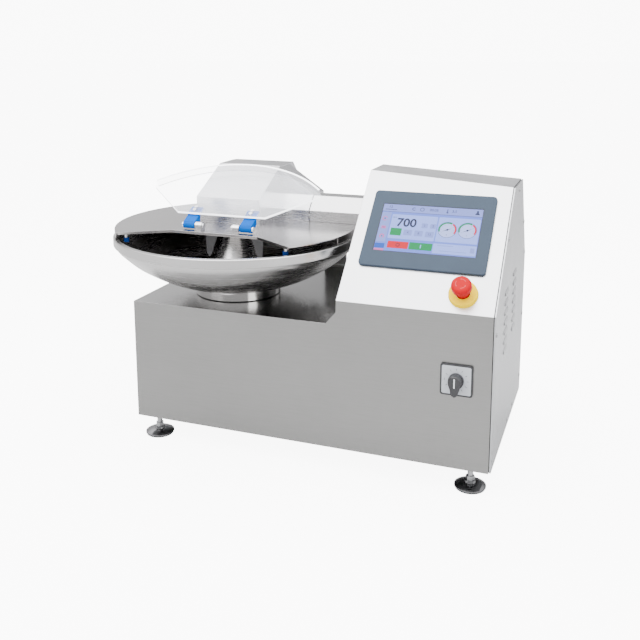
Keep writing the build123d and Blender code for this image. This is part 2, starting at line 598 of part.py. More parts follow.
with BuildPart() as knife_motor:
    rod_x(XKP - 150, XKP - 20, YM, ZM, 82)
    rod_x(XKP - 20, XKP - 12, YM, ZM, 88)
    rod_x(XKP - 190, XKP - 150, YM, ZM, 78)
    fillet(knife_motor.edges().filter_by(GeomType.CIRCLE).group_by(Axis.X)[0], 8)
    with Locations(*[Location((XKP - 85, YM + 85 * math.cos(math.radians(a)), ZM + 85 * math.sin(math.radians(a))), (0, 90, 0)) for a in range(0, 360, 10)]):
        Cylinder(3.4, 110, mode=Mode.SUBTRACT)
    rod_x(XKP - 44, XKP - 5, YM, ZM, 12.4, mode=Mode.SUBTRACT)
    # foot down to the base plate
    block(XKP - 140, XKP - 40, YM - 62, YM - 40, ZB + 3, ZM - 50)
    block(XKP - 140, XKP - 40, YM + 40, YM + 62, ZB + 3, ZM - 50)
    block(XKP - 140, XKP - 40, YM - 80, YM + 80, ZB + 3, ZB + 13)
knife_motor.part.label = "knife_motor"
export_step(knife_motor.part, "parts/knife_motor.step")

with BuildPart() as knife_belt:
    with BuildSketch(Plane.YZ.offset(XKP + 5)):
        with BuildLine():
            belt_loop(YK, ZK, R_KP + 4.4, YM, ZM, R_KMP + 4.4)
        make_face()
        with BuildLine(mode=Mode.PRIVATE) as inner_loop2:
            belt_loop(YK, ZK, R_KP + 0.4, YM, ZM, R_KMP + 0.4)
        add(make_face(inner_loop2.edges(), mode=Mode.PRIVATE), mode=Mode.SUBTRACT)
    extrude(amount=20)
knife_belt.part.label = "knife_belt"
export_step(knife_belt.part, "parts/knife_belt.step")

with BuildPart() as inverter_box:
    block(250 - OX, 420 - OX, 330 - OY, 452 - OY, ZB + 3, 200)
    fillet(inverter_box.edges().filter_by(Axis.Z), 6)
    for i in range(7):
        y = 346 - OY + 15 * i
        block(262 - OX, 408 - OX, y, y + 5, 190, 205, mode=Mode.SUBTRACT)
inverter_box.part.label = "inverter_box"
export_step(inverter_box.part, "parts/inverter_box.step")

# ================================================================ ARM
def arm_profile(d, z0=481.0):
    """Arm cross-section (y, z): upright front, bevel, flat top, rear bevel."""
    k = d * (math.sqrt(2) - 1)
    yf, yr = 229.7 - OY + d, 346.0 - OY - d
    zt = 550.0 - d
    return [(yf, z0), (yf, 519.0 - k), (260.7 - OY + k, zt), (302.0 - OY - k, zt), (yr, 506.0 - k), (yr, z0)]


with BuildPart() as arm_cover:
    poly_x(arm_profile(0), ARM_X, XT)
    poly_x(arm_profile(2, 470), ARM_X + 2, XT + 1, mode=Mode.SUBTRACT)
    rod_x(ARM_X - 3, ARM_X + 5, YK, ZK, 20.0, mode=Mode.SUBTRACT)
    block(ARM_X - 3, ARM_X + 5, YK - 20.0, YK + 20.0, 470, ZK, mode=Mode.SUBTRACT)
arm_cover.part.label = "arm_cover"
export_step(arm_cover.part, "parts/arm_cover.step")

# ================================================================ LID
HOOD_SIDE = [(HYF, Z_LID), (HYF, 552.0), (272.0 - OY, 615.0), (356.0 - OY, 615.0), (HYR, 541.0), (HYR, Z_LID)]
NOTCH = 24.5                            # half width of the slot over the shaft housing


def inset(pts, d):
    """Inset a convex polygon by d (points run either way round)."""
    n = len(pts)
    area = sum(pts[i][0] * pts[(i + 1) % n][1] - pts[(i + 1) % n][0] * pts[i][1] for i in range(n))
    s = 1 if area > 0 else -1
    lines = []
    for i in range(n):
        (x1, y1), (x2, y2) = pts[i], pts[(i + 1) % n]
        l = math.hypot(x2 - x1, y2 - y1)
        nx, ny = -(y2 - y1) / l * s, (x2 - x1) / l * s
        lines.append((x1 + nx * d, y1 + ny * d, x2 - x1, y2 - y1))
    out = []
    for i in range(n):
        x1, y1, dx1, dy1 = lines[i - 1]
        x2, y2, dx2, dy2 = lines[i]
        det = dx1 * dy2 - dy1 * dx2
        t = ((x2 - x1) * dy2 - (y2 - y1) * dx2) / det
        out.append((x1 + t * dx1, y1 + t * dy1))
    return out


HOOD_PLAN = [(HX0, HYF), (HX1, HYF), (HX1, 400 - OY), (236 - OX, HYR), (124 - OX, HYR), (HX0, 345 - OY)]
LID_PTS = dict(tl=(XB - TIP_X, YB + TIP_Y), fl=(XB - LID_W, YB + LID_FRONT), fr=(XB + LID_W, YB + LID_FRONT), tr=(XB + TIP_X, YB + TIP_Y))


R_LIP = math.hypot(TIP_X, TIP_Y)
TIP_E = 1.6                             # how far past the tips the front cut runs, as a multiple


with BuildPart() as lid_plate:
    with BuildSketch(Plane.XY.offset(Z_LID - 2)):
        with Locations((XB, YB)):
            Circle(R_LIP)
        with BuildLine():
            Polyline((XB - LID_W, YB + LID_FRONT), (XB + LID_W, YB + LID_FRONT),
                     (XB + LID_W + (TIP_X - LID_W) * TIP_E, YB + LID_FRONT + (TIP_Y - LID_FRONT) * TIP_E),
                     (XB + 300, YB - 400), (XB - 300, YB - 400),
                     (XB - LID_W - (TIP_X - LID_W) * TIP_E, YB + LID_FRONT + (TIP_Y - LID_FRONT) * TIP_E), close=True)
        make_face(mode=Mode.SUBTRACT)
    extrude(amount=2)
    # rolled lip along the three front edges, one mitred band
    dx, dy = TIP_X - LID_W, LID_FRONT - TIP_Y
    dl = math.hypot(dx, dy)
    ux, uy = dx / dl, dy / dl
    nx, ny = -uy, ux
    mit = 2 * nx / (1 + ny)
    ax, ay = -TIP_X + ux * 4, TIP_Y + uy * 4
    left = [(ax, ay), (-LID_W, LID_FRONT)]
    left_in = [(-LID_W + mit, LID_FRONT + 2), (ax + nx * 2, ay + ny * 2)]
    band = left + [(-x, y) for x, y in reversed(left)] + [(-x, y) for x, y in reversed(left_in)] + left_in
    poly_z([(XB + x, YB + y) for x, y in band], Z_LID - 6, Z_LID - 1)
    # skirt round the arc, from the right slot round the back to the left tip
    with BuildSketch(Plane.XY.offset(Z_LID - 14)):
        with Locations((XB, YB)):
            Circle(R_LIP)
            Circle(R_LIP - 2, mode=Mode.SUBTRACT)
        with BuildLine():
            Polyline((XB, YB), (XB + 400 * math.cos(math.radians(-14)), YB + 400 * math.sin(math.radians(-14))),
                     (XB + 500, YB - 500), (XB - 500, YB - 500),
                     (XB + 400 * math.cos(math.radians(-139)), YB + 400 * math.sin(math.radians(-139))), close=True)
        make_face(mode=Mode.SUBTRACT)
    extrude(amount=13)
    # opening under the hood and its shoulder
    poly_z(inset(HOOD_PLAN, 4.0), 470, 520, mode=Mode.SUBTRACT)
    block(HX1 - 6, ARM_X - 1, 229.7 + 4 - OY, 346.0 - 4 - OY, 470, 520, mode=Mode.SUBTRACT)
    # slot for the fixed arm
    block(ARM_X - 2, XT + 5, 227.0 - OY, 350.0 - OY, 470, 520, mode=Mode.SUBTRACT)
lid_plate.part.label = "lid_plate"
export_step(lid_plate.part, "parts/lid_plate.step")

# the hood: a folded sheet box over the knives, with a shoulder down to the arm
SHO = [(HX1 - 2, 520.0), (HX1 - 2, 611.0), (HX1, 611.0), (ARM_X - 2, 550.0), (ARM_X - 2, 520.0)]
with BuildPart() as hood_outer:
    poly_z(HOOD_PLAN, Z_LID, 640)
    poly_x(HOOD_SIDE, HX0 - 5, HX1 + 5, mode=Mode.INTERSECT)
with BuildPart() as hood_inner:
    poly_z(inset(HOOD_PLAN, 2.0), Z_LID - 5, 640)
    poly_x([(HYF + 2, Z_LID - 5)] + inset(HOOD_SIDE, 2.0)[1:5] + [(HYR - 2, Z_LID - 5)], HX0 - 5, HX1 + 5, mode=Mode.INTERSECT)
with BuildPart() as knife_hood:
    add(hood_outer.part)
    poly_x(arm_profile(0, Z_LID), HX1 - 1, ARM_X - 2)
    poly_y(SHO, 262 - OY, 334 - OY)
    add(hood_inner.part, mode=Mode.SUBTRACT)
    poly_x(arm_profile(2, Z_LID - 5), HX1 - 3, ARM_X + 3, mode=Mode.SUBTRACT)
    poly_y([(HX1 - 4, 515.0), (HX1 - 4, 608.5), (HX1 - 0.6, 608.5), (ARM_X - 6, 548.0), (ARM_X - 6, 515.0)], 264 - OY, 332 - OY, mode=Mode.SUBTRACT)
    # closed right wall of the hood below the shoulder, slotted for the shaft housing
    poly_x(arm_profile(1, Z_LID), HX1 - 2, HX1)
    rod_x(HX1 - 4, HX1 + 2, YK, ZK, NOTCH, mode=Mode.SUBTRACT)
    block(HX1 - 4, HX1 + 2, YK - NOTCH, YK + NOTCH, 480, ZK, mode=Mode.SUBTRACT)
knife_hood.part.label = "knife_hood"
export_step(knife_hood.part, "parts/knife_hood.step")

# rear hinge: two arms on the lid, two posts on the deck, two pins
HINGE_DX = 142.0
with BuildPart() as lid_hinge_arms:
    for s in (-1, 1):
        xc = XB + s * HINGE_DX
        poly_x([(392 - OY, Z_LID), (430 - OY, Z_LID), (YH - 5, ZH - 7.4), (YH + 2, ZH - 7.4), (YH + 2, ZH + 7.4), (YH - 5, ZH + 7.4),
                (430 - OY, Z_LID + 5), (392 - OY, Z_LID + 5)], xc - 18, xc + 18)
        rod_x(xc - 18, xc + 18, YH, ZH, 8.0)
        rod_x(xc - 20, xc + 20, YH, ZH, 4.05, mode=Mode.SUBTRACT)
        with Locations(*[(xc + a, b - OY, Z_LID + 3) for a in (-11, 11) for b in (399, 413)]):
            Cylinder(2.6, 12, mode=Mode.SUBTRACT)
lid_hinge_arms.part.label = "lid_hinge_arms"
export_step(lid_hinge_arms.part, "parts/lid_hinge_arms.step")

with BuildPart() as lid_hinge_posts:
    for s in (-1, 1):
        xc = XB + s * HINGE_DX
        block(xc - 30, xc + 30, Y1 - 22, Y1, ZD, ZD + 6)
        block(xc - 30, xc + 30, YH - 4, YH + 4, ZD + 6, 480)
        for e in (-1, 1):
            a, b = sorted((xc + e * 18.5, xc + e * 28.5))
            block(a, b, YH - 4, YH + 4, 480, ZH)
            rod_x(a, b, YH, ZH, 8.0)
            rod_x(a - 1, b + 1, YH, ZH, 4.0, mode=Mode.SUBTRACT)
lid_hinge_posts.part.label = "lid_hinge_posts"
export_step(lid_hinge_posts.part, "parts/lid_hinge_posts.step")

with BuildPart() as lid_hinge_pins:
    for s in (-1, 1):
        xc = XB + s * HINGE_DX
        rod_x(xc - 31, xc + 31, YH, ZH, 4.0)
        rod_x(xc - 31, xc - 28.5, YH, ZH, 6.0)
        rod_x(xc + 28.5, xc + 31, YH, ZH, 6.0)
lid_hinge_pins.part.label = "lid_hinge_pins"
export_step(lid_hinge_pins.part, "parts/lid_hinge_pins.step")

# hub baffles hanging beside the bowl's hub
BAF_Y = YB - 18.0
with BuildPart() as hub_baffles:
    for s in (-1, 1):
        with BuildSketch(Plane(origin=(XB, BAF_Y, ZR), x_dir=(s, 0, 0), z_dir=(0, -s, 0))):
            with BuildLine():
                Line((32, 15.9), (74, 15.9))
                Line((74, 15.9), (72.5, -44))
                Spline((72.5, -44), (70, -58), (65.5, -63.5), (60, -58), (52, -36), (40, -8), (32, 15.9), tangents=((-0.05, -1), (-0.25, 1)))
            make_face()
        extrude(amount=2.0, both=True)
        block(XB + s * 53 - 20, XB + s * 53 + 20, BAF_Y + 2, BAF_Y + 14, ZR + 13.4, ZR + 15.9)
hub_baffles.part.label = "hub_baffles"
export_step(hub_baffles.part, "parts/hub_baffles.step")

GUIDE_X, GUIDE_Y = 192.0, -170.0
with BuildPart() as guide_posts:
    for s in (-1, 1):
        rod_z(XB + s * GUIDE_X, YB + GUIDE_Y, ZR - 6, Z_LID - 2, 3.5)
guide_posts.part.label = "guide_posts"
export_step(guide_posts.part, "parts/guide_posts.step")

with BuildPart() as guide_pads:
    for s in (-1, 1):
        rod_z(XB + s * GUIDE_X, YB + GUIDE_Y, ZR - 6, ZR + 4, 6.0)
        rod_z(XB + s * GUIDE_X, YB + GUIDE_Y, ZR - 7, ZR + 5, 3.5, mode=Mode.SUBTRACT)
    fillet(guide_pads.edges().filter_by(GeomType.CIRCLE).group_by(Axis.Z)[0], 1.0)
guide_pads.part.label = "guide_pads"
export_step(guide_pads.part, "parts/guide_pads.step")

BRK_DX = 46.0
with BuildPart() as shield_brackets:
    for s in (-1, 1):
        xc = XB + s * BRK_DX
        block(xc - 8, xc + 8, YS - 8, YS + 9, Z_LID, ZS)
        rod_x(xc - 8, xc + 8, YS, ZS, 8.0)
        rod_x(xc - 10, xc + 10, YS, ZS, 3.5, mode=Mode.SUBTRACT)
shield_brackets.part.label = "shield_brackets"
export_step(shield_brackets.part, "parts/shield_brackets.step")

ARM_DX = 70.0
with BuildPart() as shield_pins:
    for s in (-1, 1):
        a, b = sorted((XB + s * 36.0, XB + s * 86.5))
        rod_x(a, b, YS, ZS, 3.5)
        a, b = sorted((XB + s * 84.6, XB + s * 87.6))
        rod_x(a, b, YS, ZS, 6.0)
        a, b = sorted((XB + s * 34.5, XB + s * 37.5))
        rod_x(a, b, YS, ZS, 5.5)
shield_pins.part.label = "shield_pins"
export_step(shield_pins.part, "parts/shield_pins.step")

# ================================================================ SHIELD (drawn closed, then raised)
def raise_shield(part):
    return part.rotate(Axis((0, YS, ZS), (1, 0, 0)), -SHIELD_REST)


ZS0, ZS1 = 486.6, 490.6                 # closed plate, under and upper face
SH = [(XB - SX_TIP, YB + SY_TIP), (XB - 108.0, YB + LID_FRONT - 2.0), (XB + 108.0, YB + LID_FRONT - 2.0), (XB + SX_TIP, YB + SY_TIP)]
with BuildPart() as shield_closed:
    with BuildSketch(Plane.XY.offset(ZS0)):
        with BuildLine():
            Polyline(*SH)
            ThreePointArc(SH[3], (XB, YB - R_SHIELD), SH[0])
        make_face()
    extrude(amount=ZS1 - ZS0)
    fillet(shield_closed.edges().filter_by(Axis.Z), 5.0)
    # rim flange turned down along the arc
    with BuildSketch(Plane.XY.offset(ZS0 - 14)):
        with Locations((XB, YB)):
            Circle(R_SHIELD)
            Circle(R_SHIELD - 4, mode=Mode.SUBTRACT)
        with BuildLine():
            Polyline((XB, YB), (XB - 400 * math.cos(math.radians(46.2)), YB - 400 * math.sin(math.radians(46.2))), (XB - 500, YB - 100),
                     (XB - 500, YB + 500), (XB + 500, YB + 500), (XB + 500, YB - 100),
                     (XB + 400 * math.cos(math.radians(46.2)), YB - 400 * math.sin(math.radians(46.2))), close=True)
        make_face(mode=Mode.SUBTRACT)
    extrude(amount=15)
    with Locations(*[(XB + s * ARM_DX, YB + LID_FRONT - 2 - dy, ZS1) for s in (-1, 1) for dy in (10.5, 20.5)]):
        Cylinder(2.2, 20, mode=Mode.SUBTRACT)
with BuildPart() as splash_shield:
    add(raise_shield(shield_closed.part))
splash_shield.part.label = "splash_shield"
export_step(splash_shield.part, "parts/splash_shield.step")

YE = YB + LID_FRONT - 2.0               # shield's straight edge when closed
with BuildPart() as arms_closed:
    for s in (-1, 1):
        xc = XB + s * ARM_DX
        poly_x([(YE - 26, ZS1), (YE - 0.5, ZS1), (YE + 1.0, Z_LID + 1.6), (YS, Z_LID + 1.6), (YS, ZS + 8.0), (YE + 1, ZS + 5.5),
                (YE - 6, ZS1 + 6.5), (YE - 26, ZS1 + 5)], xc - 14, xc + 14)
        rod_x(xc - 14, xc + 14, YS, ZS, 8.0)
        rod_x(xc - 16, xc + 16, YS, ZS, 3.55, mode=Mode.SUBTRACT)
        with Locations(*[(xc, YE - dy, ZS1) for dy in (10.5, 20.5)]):
            Cylinder(2.2, 30, mode=Mode.SUBTRACT)
with BuildPart() as shield_hinge_arms:
    add(raise_shield(arms_closed.part))
shield_hinge_arms.part.label = "shield_hinge_arms"
export_step(shield_hinge_arms.part, "parts/shield_hinge_arms.step")

with BuildPart() as screws_closed:
    for s in (-1, 1):
        for dy in (10.5, 20.5):
            rod_z(XB + s * ARM_DX, YE - dy, ZS0 - 1.6, ZS1 + 7.5, 2.2)
            rod_z(XB + s * ARM_DX, YE - dy, ZS0 - 1.8, ZS0, 4.2)
            rod_z(XB + s * ARM_DX, YE - dy, ZS1 + 6.6, ZS1 + 8.6, 3.6)
with BuildPart() as shield_screws:
    add(raise_shield(screws_closed.part))
shield_screws.part.label = "shield_screws"
export_step(shield_screws.part, "parts/shield_screws.step")

# ================================================================ CONTROLS
with BuildPart() as hmi_gasket:
    with BuildSketch(panel_plane(HMI_X, HMI_T, 0)):
        RectangleRounded(HMI_W - 6, HMI_H - 6, 6)
        Rectangle(252, 179, mode=Mode.SUBTRACT)
    extrude(amount=1.2)
hmi_gasket.part.label = "hmi_gasket"
export_step(hmi_gasket.part, "parts/hmi_gasket.step")

SCR_W, SCR_H = 219.0, 122.4
SCR_DX, SCR_DT = 0.5, 1.3
with BuildPart() as hmi_bezel:
    with BuildSketch(panel_plane(HMI_X, HMI_T, 1.2)):
        RectangleRounded(HMI_W, HMI_H, 9)
    extrude(amount=5.0)
    fillet(hmi_bezel.faces().sort_by(Axis((0, 0, 0), tuple(PAN_N)))[-1].edges(), 2.0)
    with BuildSketch(panel_plane(HMI_X + SCR_DX, HMI_T + SCR_DT, 10)):
        Rectangle(SCR_W, SCR_H)
    extrude(amount=-20, mode=Mode.SUBTRACT)
hmi_bezel.part.label = "hmi_bezel"
export_step(hmi_bezel.part, "parts/hmi_bezel.step")

with BuildPart() as hmi_screen:
    with BuildSketch(panel_plane(HMI_X + SCR_DX, HMI_T + SCR_DT, 1.2)):
        Rectangle(SCR_W, SCR_H)
    extrude(amount=4.2)
hmi_screen.part.label = "hmi_screen"
export_step(hmi_screen.part, "parts/hmi_screen.step")

with BuildPart() as hmi_rear_box:
    with BuildSketch(panel_plane(HMI_X, HMI_T, 1.2)):
        Rectangle(248, 175)
    extrude(amount=-40)
    with BuildSketch(panel_plane(HMI_X, HMI_T, -38.8)):
        Rectangle(180, 110)
    extrude(amount=-10)
hmi_rear_box.part.label = "hmi_rear_box"
export_step(hmi_rear_box.part, "parts/hmi_rear_box.step")

with BuildPart() as estop_collar:
    with BuildSketch(panel_plane(EST_X, EST_T, 0)):
        Circle(30)
    extrude(amount=9, taper=8)
    fillet(estop_collar.edges().filter_by(GeomType.CIRCLE).sort_by(Axis((0, 0, 0), tuple(PAN_N)))[-1], 2)
    with BuildSketch(panel_plane(EST_X, EST_T, -1)):
        Circle(15.0)
    extrude(amount=20, mode=Mode.SUBTRACT)
estop_collar.part.label = "estop_collar"
export_step(estop_collar.part, "parts/estop_collar.step")

with BuildPart() as estop_button:
    with BuildSketch(panel_plane(EST_X, EST_T, -30)):
        Circle(8.5)
    extrude(amount=38)
    with BuildSketch(panel_plane(EST_X, EST_T, 5.6)):
        Circle(13.5)
    extrude(amount=23.4)
    with BuildSketch(panel_plane(EST_X, EST_T, 27)):
        Circle(20.5)
    extrude(amount=17)
    fillet(estop_button.edges().filter_by(GeomType.CIRCLE).sort_by(Axis((0, 0, 0), tuple(PAN_N)))[-1], 8.0)
    fillet(estop_button.edges().filter_by(GeomType.CIRCLE).filter_by(lambda e: abs(e.radius - 20.5) < 0.01).sort_by(Axis((0, 0, 0), tuple(PAN_N)))[0], 2.0)
estop_button.part.label = "estop_button"
export_step(estop_button.part, "parts/estop_button.step")

with BuildPart() as estop_contact_block:
    with BuildSketch(panel_plane(EST_X, EST_T, -2.2)):
        Circle(16)
        Circle(11.0, mode=Mode.SUBTRACT)
    extrude(amount=-8)
    with BuildSketch(panel_plane(EST_X, EST_T, -10.2)):
        RectangleRounded(38, 32, 3)
        Circle(11.0, mode=Mode.SUBTRACT)
    extrude(amount=-28)
    with BuildSketch(panel_plane(EST_X, EST_T, -38.2)):
        RectangleRounded(38, 32, 3)
    extrude(amount=-10)
estop_contact_block.part.label = "estop_contact_block"
export_step(estop_contact_block.part, "parts/estop_contact_block.step")


def front_plane(off):
    return Plane(origin=(SW_X, Y0 - off, SW_Z), x_dir=(1, 0, 0), z_dir=(0, -1, 0))


with BuildPart() as switch_frame:
    with BuildSketch(front_plane(0)):
        RectangleRounded(SW_S, SW_S, 5)
    extrude(amount=4.0)
    with BuildSketch(front_plane(2.0)):
        RectangleRounded(SW_S - 7, SW_S - 7, 3)
    extrude(amount=6, mode=Mode.SUBTRACT)
    rod_y(SW_X, Y0 - 10, Y0 + 2, SW_Z, 14, mode=Mode.SUBTRACT)
switch_frame.part.label = "switch_frame"
export_step(switch_frame.part, "parts/switch_frame.step")

with BuildPart() as switch_plate:
    with BuildSketch(front_plane(2.0)):
        RectangleRounded(SW_S - 7, SW_S - 7, 3)
        Circle(14, mode=Mode.SUBTRACT)
    extrude(amount=2.6)
switch_plate.part.label = "switch_plate"
export_step(switch_plate.part, "parts/switch_plate.step")

with BuildPart() as switch_knob:
    with BuildSketch(front_plane(5.2)):
        Circle(15.5)
    extrude(amount=7)
    with BuildSketch(front_plane(12.2)):
        with BuildLine():
            ThreePointArc((-13.0, 2.0), (0, 15.5), (13.0, 2.0))
            Spline((13.0, 2.0), (9.0, -12.0), (5.5, -24.0), (0, -27.5), (-5.5, -24.0), (-9.0, -12.0), (-13.0, 2.0),
                   tangents=((0, -1), (0, 1)))
        make_face()
    extrude(amount=15)
    chamfer(switch_knob.faces().sort_by(Axis.Y)[0].edges(), 1.8)
    rod_y(SW_X, Y0 - 6, Y0 + 24, SW_Z, 4.0)
switch_knob.part.label = "switch_knob"
export_step(switch_knob.part, "parts/switch_knob.step")

with BuildPart() as switch_body:
    block(SW_X - 26, SW_X + 26, Y0 + 2.2, Y0 + 62, SW_Z - 26, SW_Z + 26)
    fillet(switch_body.edges().filter_by(Axis.Y), 4)
    rod_y(SW_X, Y0 - 0.0, Y0 + 4, SW_Z, 21.5)
    rod_y(SW_X, Y0 - 3, Y0 + 30, SW_Z, 4.3, mode=Mode.SUBTRACT)
switch_body.part.label = "switch_body"
export_step(switch_body.part, "parts/switch_body.step")
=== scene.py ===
import bpy, bmesh, math
from mathutils import Vector, Matrix


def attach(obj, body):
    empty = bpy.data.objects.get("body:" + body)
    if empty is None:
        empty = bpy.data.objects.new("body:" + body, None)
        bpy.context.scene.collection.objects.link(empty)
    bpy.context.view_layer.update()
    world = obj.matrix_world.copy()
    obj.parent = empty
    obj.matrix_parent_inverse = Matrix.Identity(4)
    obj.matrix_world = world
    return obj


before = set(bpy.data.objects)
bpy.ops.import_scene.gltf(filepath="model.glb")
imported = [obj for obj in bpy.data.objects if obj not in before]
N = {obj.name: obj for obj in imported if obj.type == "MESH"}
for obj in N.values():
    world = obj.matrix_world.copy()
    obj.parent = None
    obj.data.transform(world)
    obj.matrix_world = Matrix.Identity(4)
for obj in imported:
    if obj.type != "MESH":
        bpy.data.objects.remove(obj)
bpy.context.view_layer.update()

OX, OY = 0.36005, 0.17955                 # layout shift, as in the CAD (metres)
XB, YB, ZR = 0.1875 - OX, 0.1597 - OY, 0.4751
SL = math.radians(44.4)
PN = Vector((0, -math.sin(SL), math.cos(SL)))
PY = Vector((0, math.cos(SL), math.sin(SL)))
X0, X1, XT, Y0 = -OX, 0.8096 - OX, 0.4862 - OX, -OY
ZD, ZT = 0.3295, 0.3809


# ------------------------------------------------------------------ shader helpers
class G:
    def __init__(self, name):
        self.m = bpy.data.materials.new(name)
        self.m.use_nodes = True
        self.t = self.m.node_tree
        self.b = next(n for n in self.t.nodes if n.type == "BSDF_PRINCIPLED")
        self.co = self.t.nodes.new("ShaderNodeTexCoord")

    def n(self, kind, **kw):
        x = self.t.nodes.new("ShaderNode" + kind)
        for k, v in kw.items():
            setattr(x, k, v)
        return x

    def link(self, a, b):
        self.t.links.new(a, b)

    def put(self, sock, val):
        if isinstance(val, (int, float, tuple, list)):
            sock.default_value = val
        else:
            self.link(val, sock)

    def noise(self, scale, stretch=(1, 1, 1), detail=4.0, rough=0.55, loc=(0, 0, 0), dist=0.0):
        mp = self.n("Mapping")
        self.link(self.co.outputs["Object"], mp.inputs["Vector"])
        mp.inputs["Scale"].default_value = stretch
        mp.inputs["Location"].default_value = loc
        nz = self.n("TexNoise")
        self.link(mp.outputs[0], nz.inputs["Vector"])
        nz.inputs["Scale"].default_value = scale
        nz.inputs["Detail"].default_value = detail
        nz.inputs["Roughness"].default_value = rough
        nz.inputs["Distortion"].default_value = dist
        return nz.outputs["Fac"]

    def math(self, op, a, b=None, c=None, clamp=False):
        x = self.n("Math", operation=op, use_clamp=clamp)
        self.put(x.inputs[0], a)
        if b is not None:
            self.put(x.inputs[1], b)
        if c is not None:
            self.put(x.inputs[2], c)
        return x.outputs[0]

    def ramp(self, f, lo, hi, a, b):
        x = self.n("MapRange")
        self.put(x.inputs["Value"], f)
        x.inputs["From Min"].default_value = lo
        x.inputs["From Max"].default_value = hi
        x.inputs["To Min"].default_value = a
        x.inputs["To Max"].default_value = b
        return x.outputs[0]

    def mix(self, f, a, b):
        x = self.n("Mix", data_type="RGBA")
        self.put(x.inputs[0], f)
        self.put(x.inputs[6], a if not isinstance(a, tuple) else (*a, 1)[:4])
        self.put(x.inputs[7], b if not isinstance(b, tuple) else (*b, 1)[:4])
        return x.outputs[2]

    def bump(self, h, strength, dist, bevel=0.0, chain=None):
        x = self.n("Bump")
        x.inputs["Strength"].default_value = strength
        x.inputs["Distance"].default_value = dist
        self.link(h, x.inputs["Height"])
        if bevel:
            bv = self.n("Bevel", samples=4)
            bv.inputs["Radius"].default_value = bevel
            self.link(bv.outputs[0], x.inputs["Normal"])
        if chain is not None:
            self.link(chain, x.inputs["Normal"])
        return x.outputs[0]

    def set(self, **kw):
        for k, v in kw.items():
            self.put(self.b.inputs[k.replace("_", " ")], v)
        return self.m


def c3(*v):
    return (*v, 1.0)


def dark(c, k):
    return tuple(min(1.0, x * k) for x in c)


def steel(name, col, rough, grain=(1, 1, 1), scale=60.0, amount=0.10, bevel=0.0012, bump=0.10, metal=1.0):
    g = G(name)
    fine = g.noise(scale, grain, 5.0, 0.62)
    big = g.noise(3.1, (1, 1, 1), 3.0, 0.5, loc=(3.2, 1.7, 0.4))
    smear = g.noise(11.0, (1.0, 1.0, 0.6), 4.0, 0.6, loc=(9.1, 2.2, 5.0))
    f = g.math("ADD", g.math("MULTIPLY", fine, 0.7), g.math("MULTIPLY", big, 0.3))
    base = g.mix(g.ramp(f, 0.3, 0.7, 0.0, 1.0), c3(*dark(col, 1 - amount)), c3(*dark(col, 1 + amount * 0.7)))
    r1 = g.ramp(fine, 0.25, 0.75, rough * 0.82, rough * 1.2)
    r = g.math("ADD", r1, g.ramp(smear, 0.35, 0.75, -0.015, 0.035))
    g.set(Base_Color=base, Roughness=g.math("MAXIMUM", r, 0.03), Metallic=metal, Normal=g.bump(fine, bump, 0.0004, bevel))
    return g.m


def plastic(name, col, rough, spec=0.5, scale=900.0, bump=0.12, var=0.06, bevel=0.0006, coat=0.0):
    g = G(name)
    grain = g.noise(scale, (1, 1, 1), 2.0, 0.5)
    big = g.noise(14.0, (1, 1, 1), 4.0, 0.6, loc=(4.0, 0.5, 2.0))
    base = g.mix(g.ramp(big, 0.3, 0.7, 0.0, 1.0), c3(*dark(col, 1 - var)), c3(*dark(col, 1 + var)))
    g.set(Base_Color=base, Roughness=g.ramp(big, 0.25, 0.75, rough * 0.88, rough * 1.15), Normal=g.bump(grain, bump, 0.0002, bevel))
    g.b.inputs["Specular IOR Level"].default_value = spec
    if coat:
        g.b.inputs["Coat Weight"].default_value = coat
        g.b.inputs["Coat Roughness"].default_value = 0.08
    return g.m


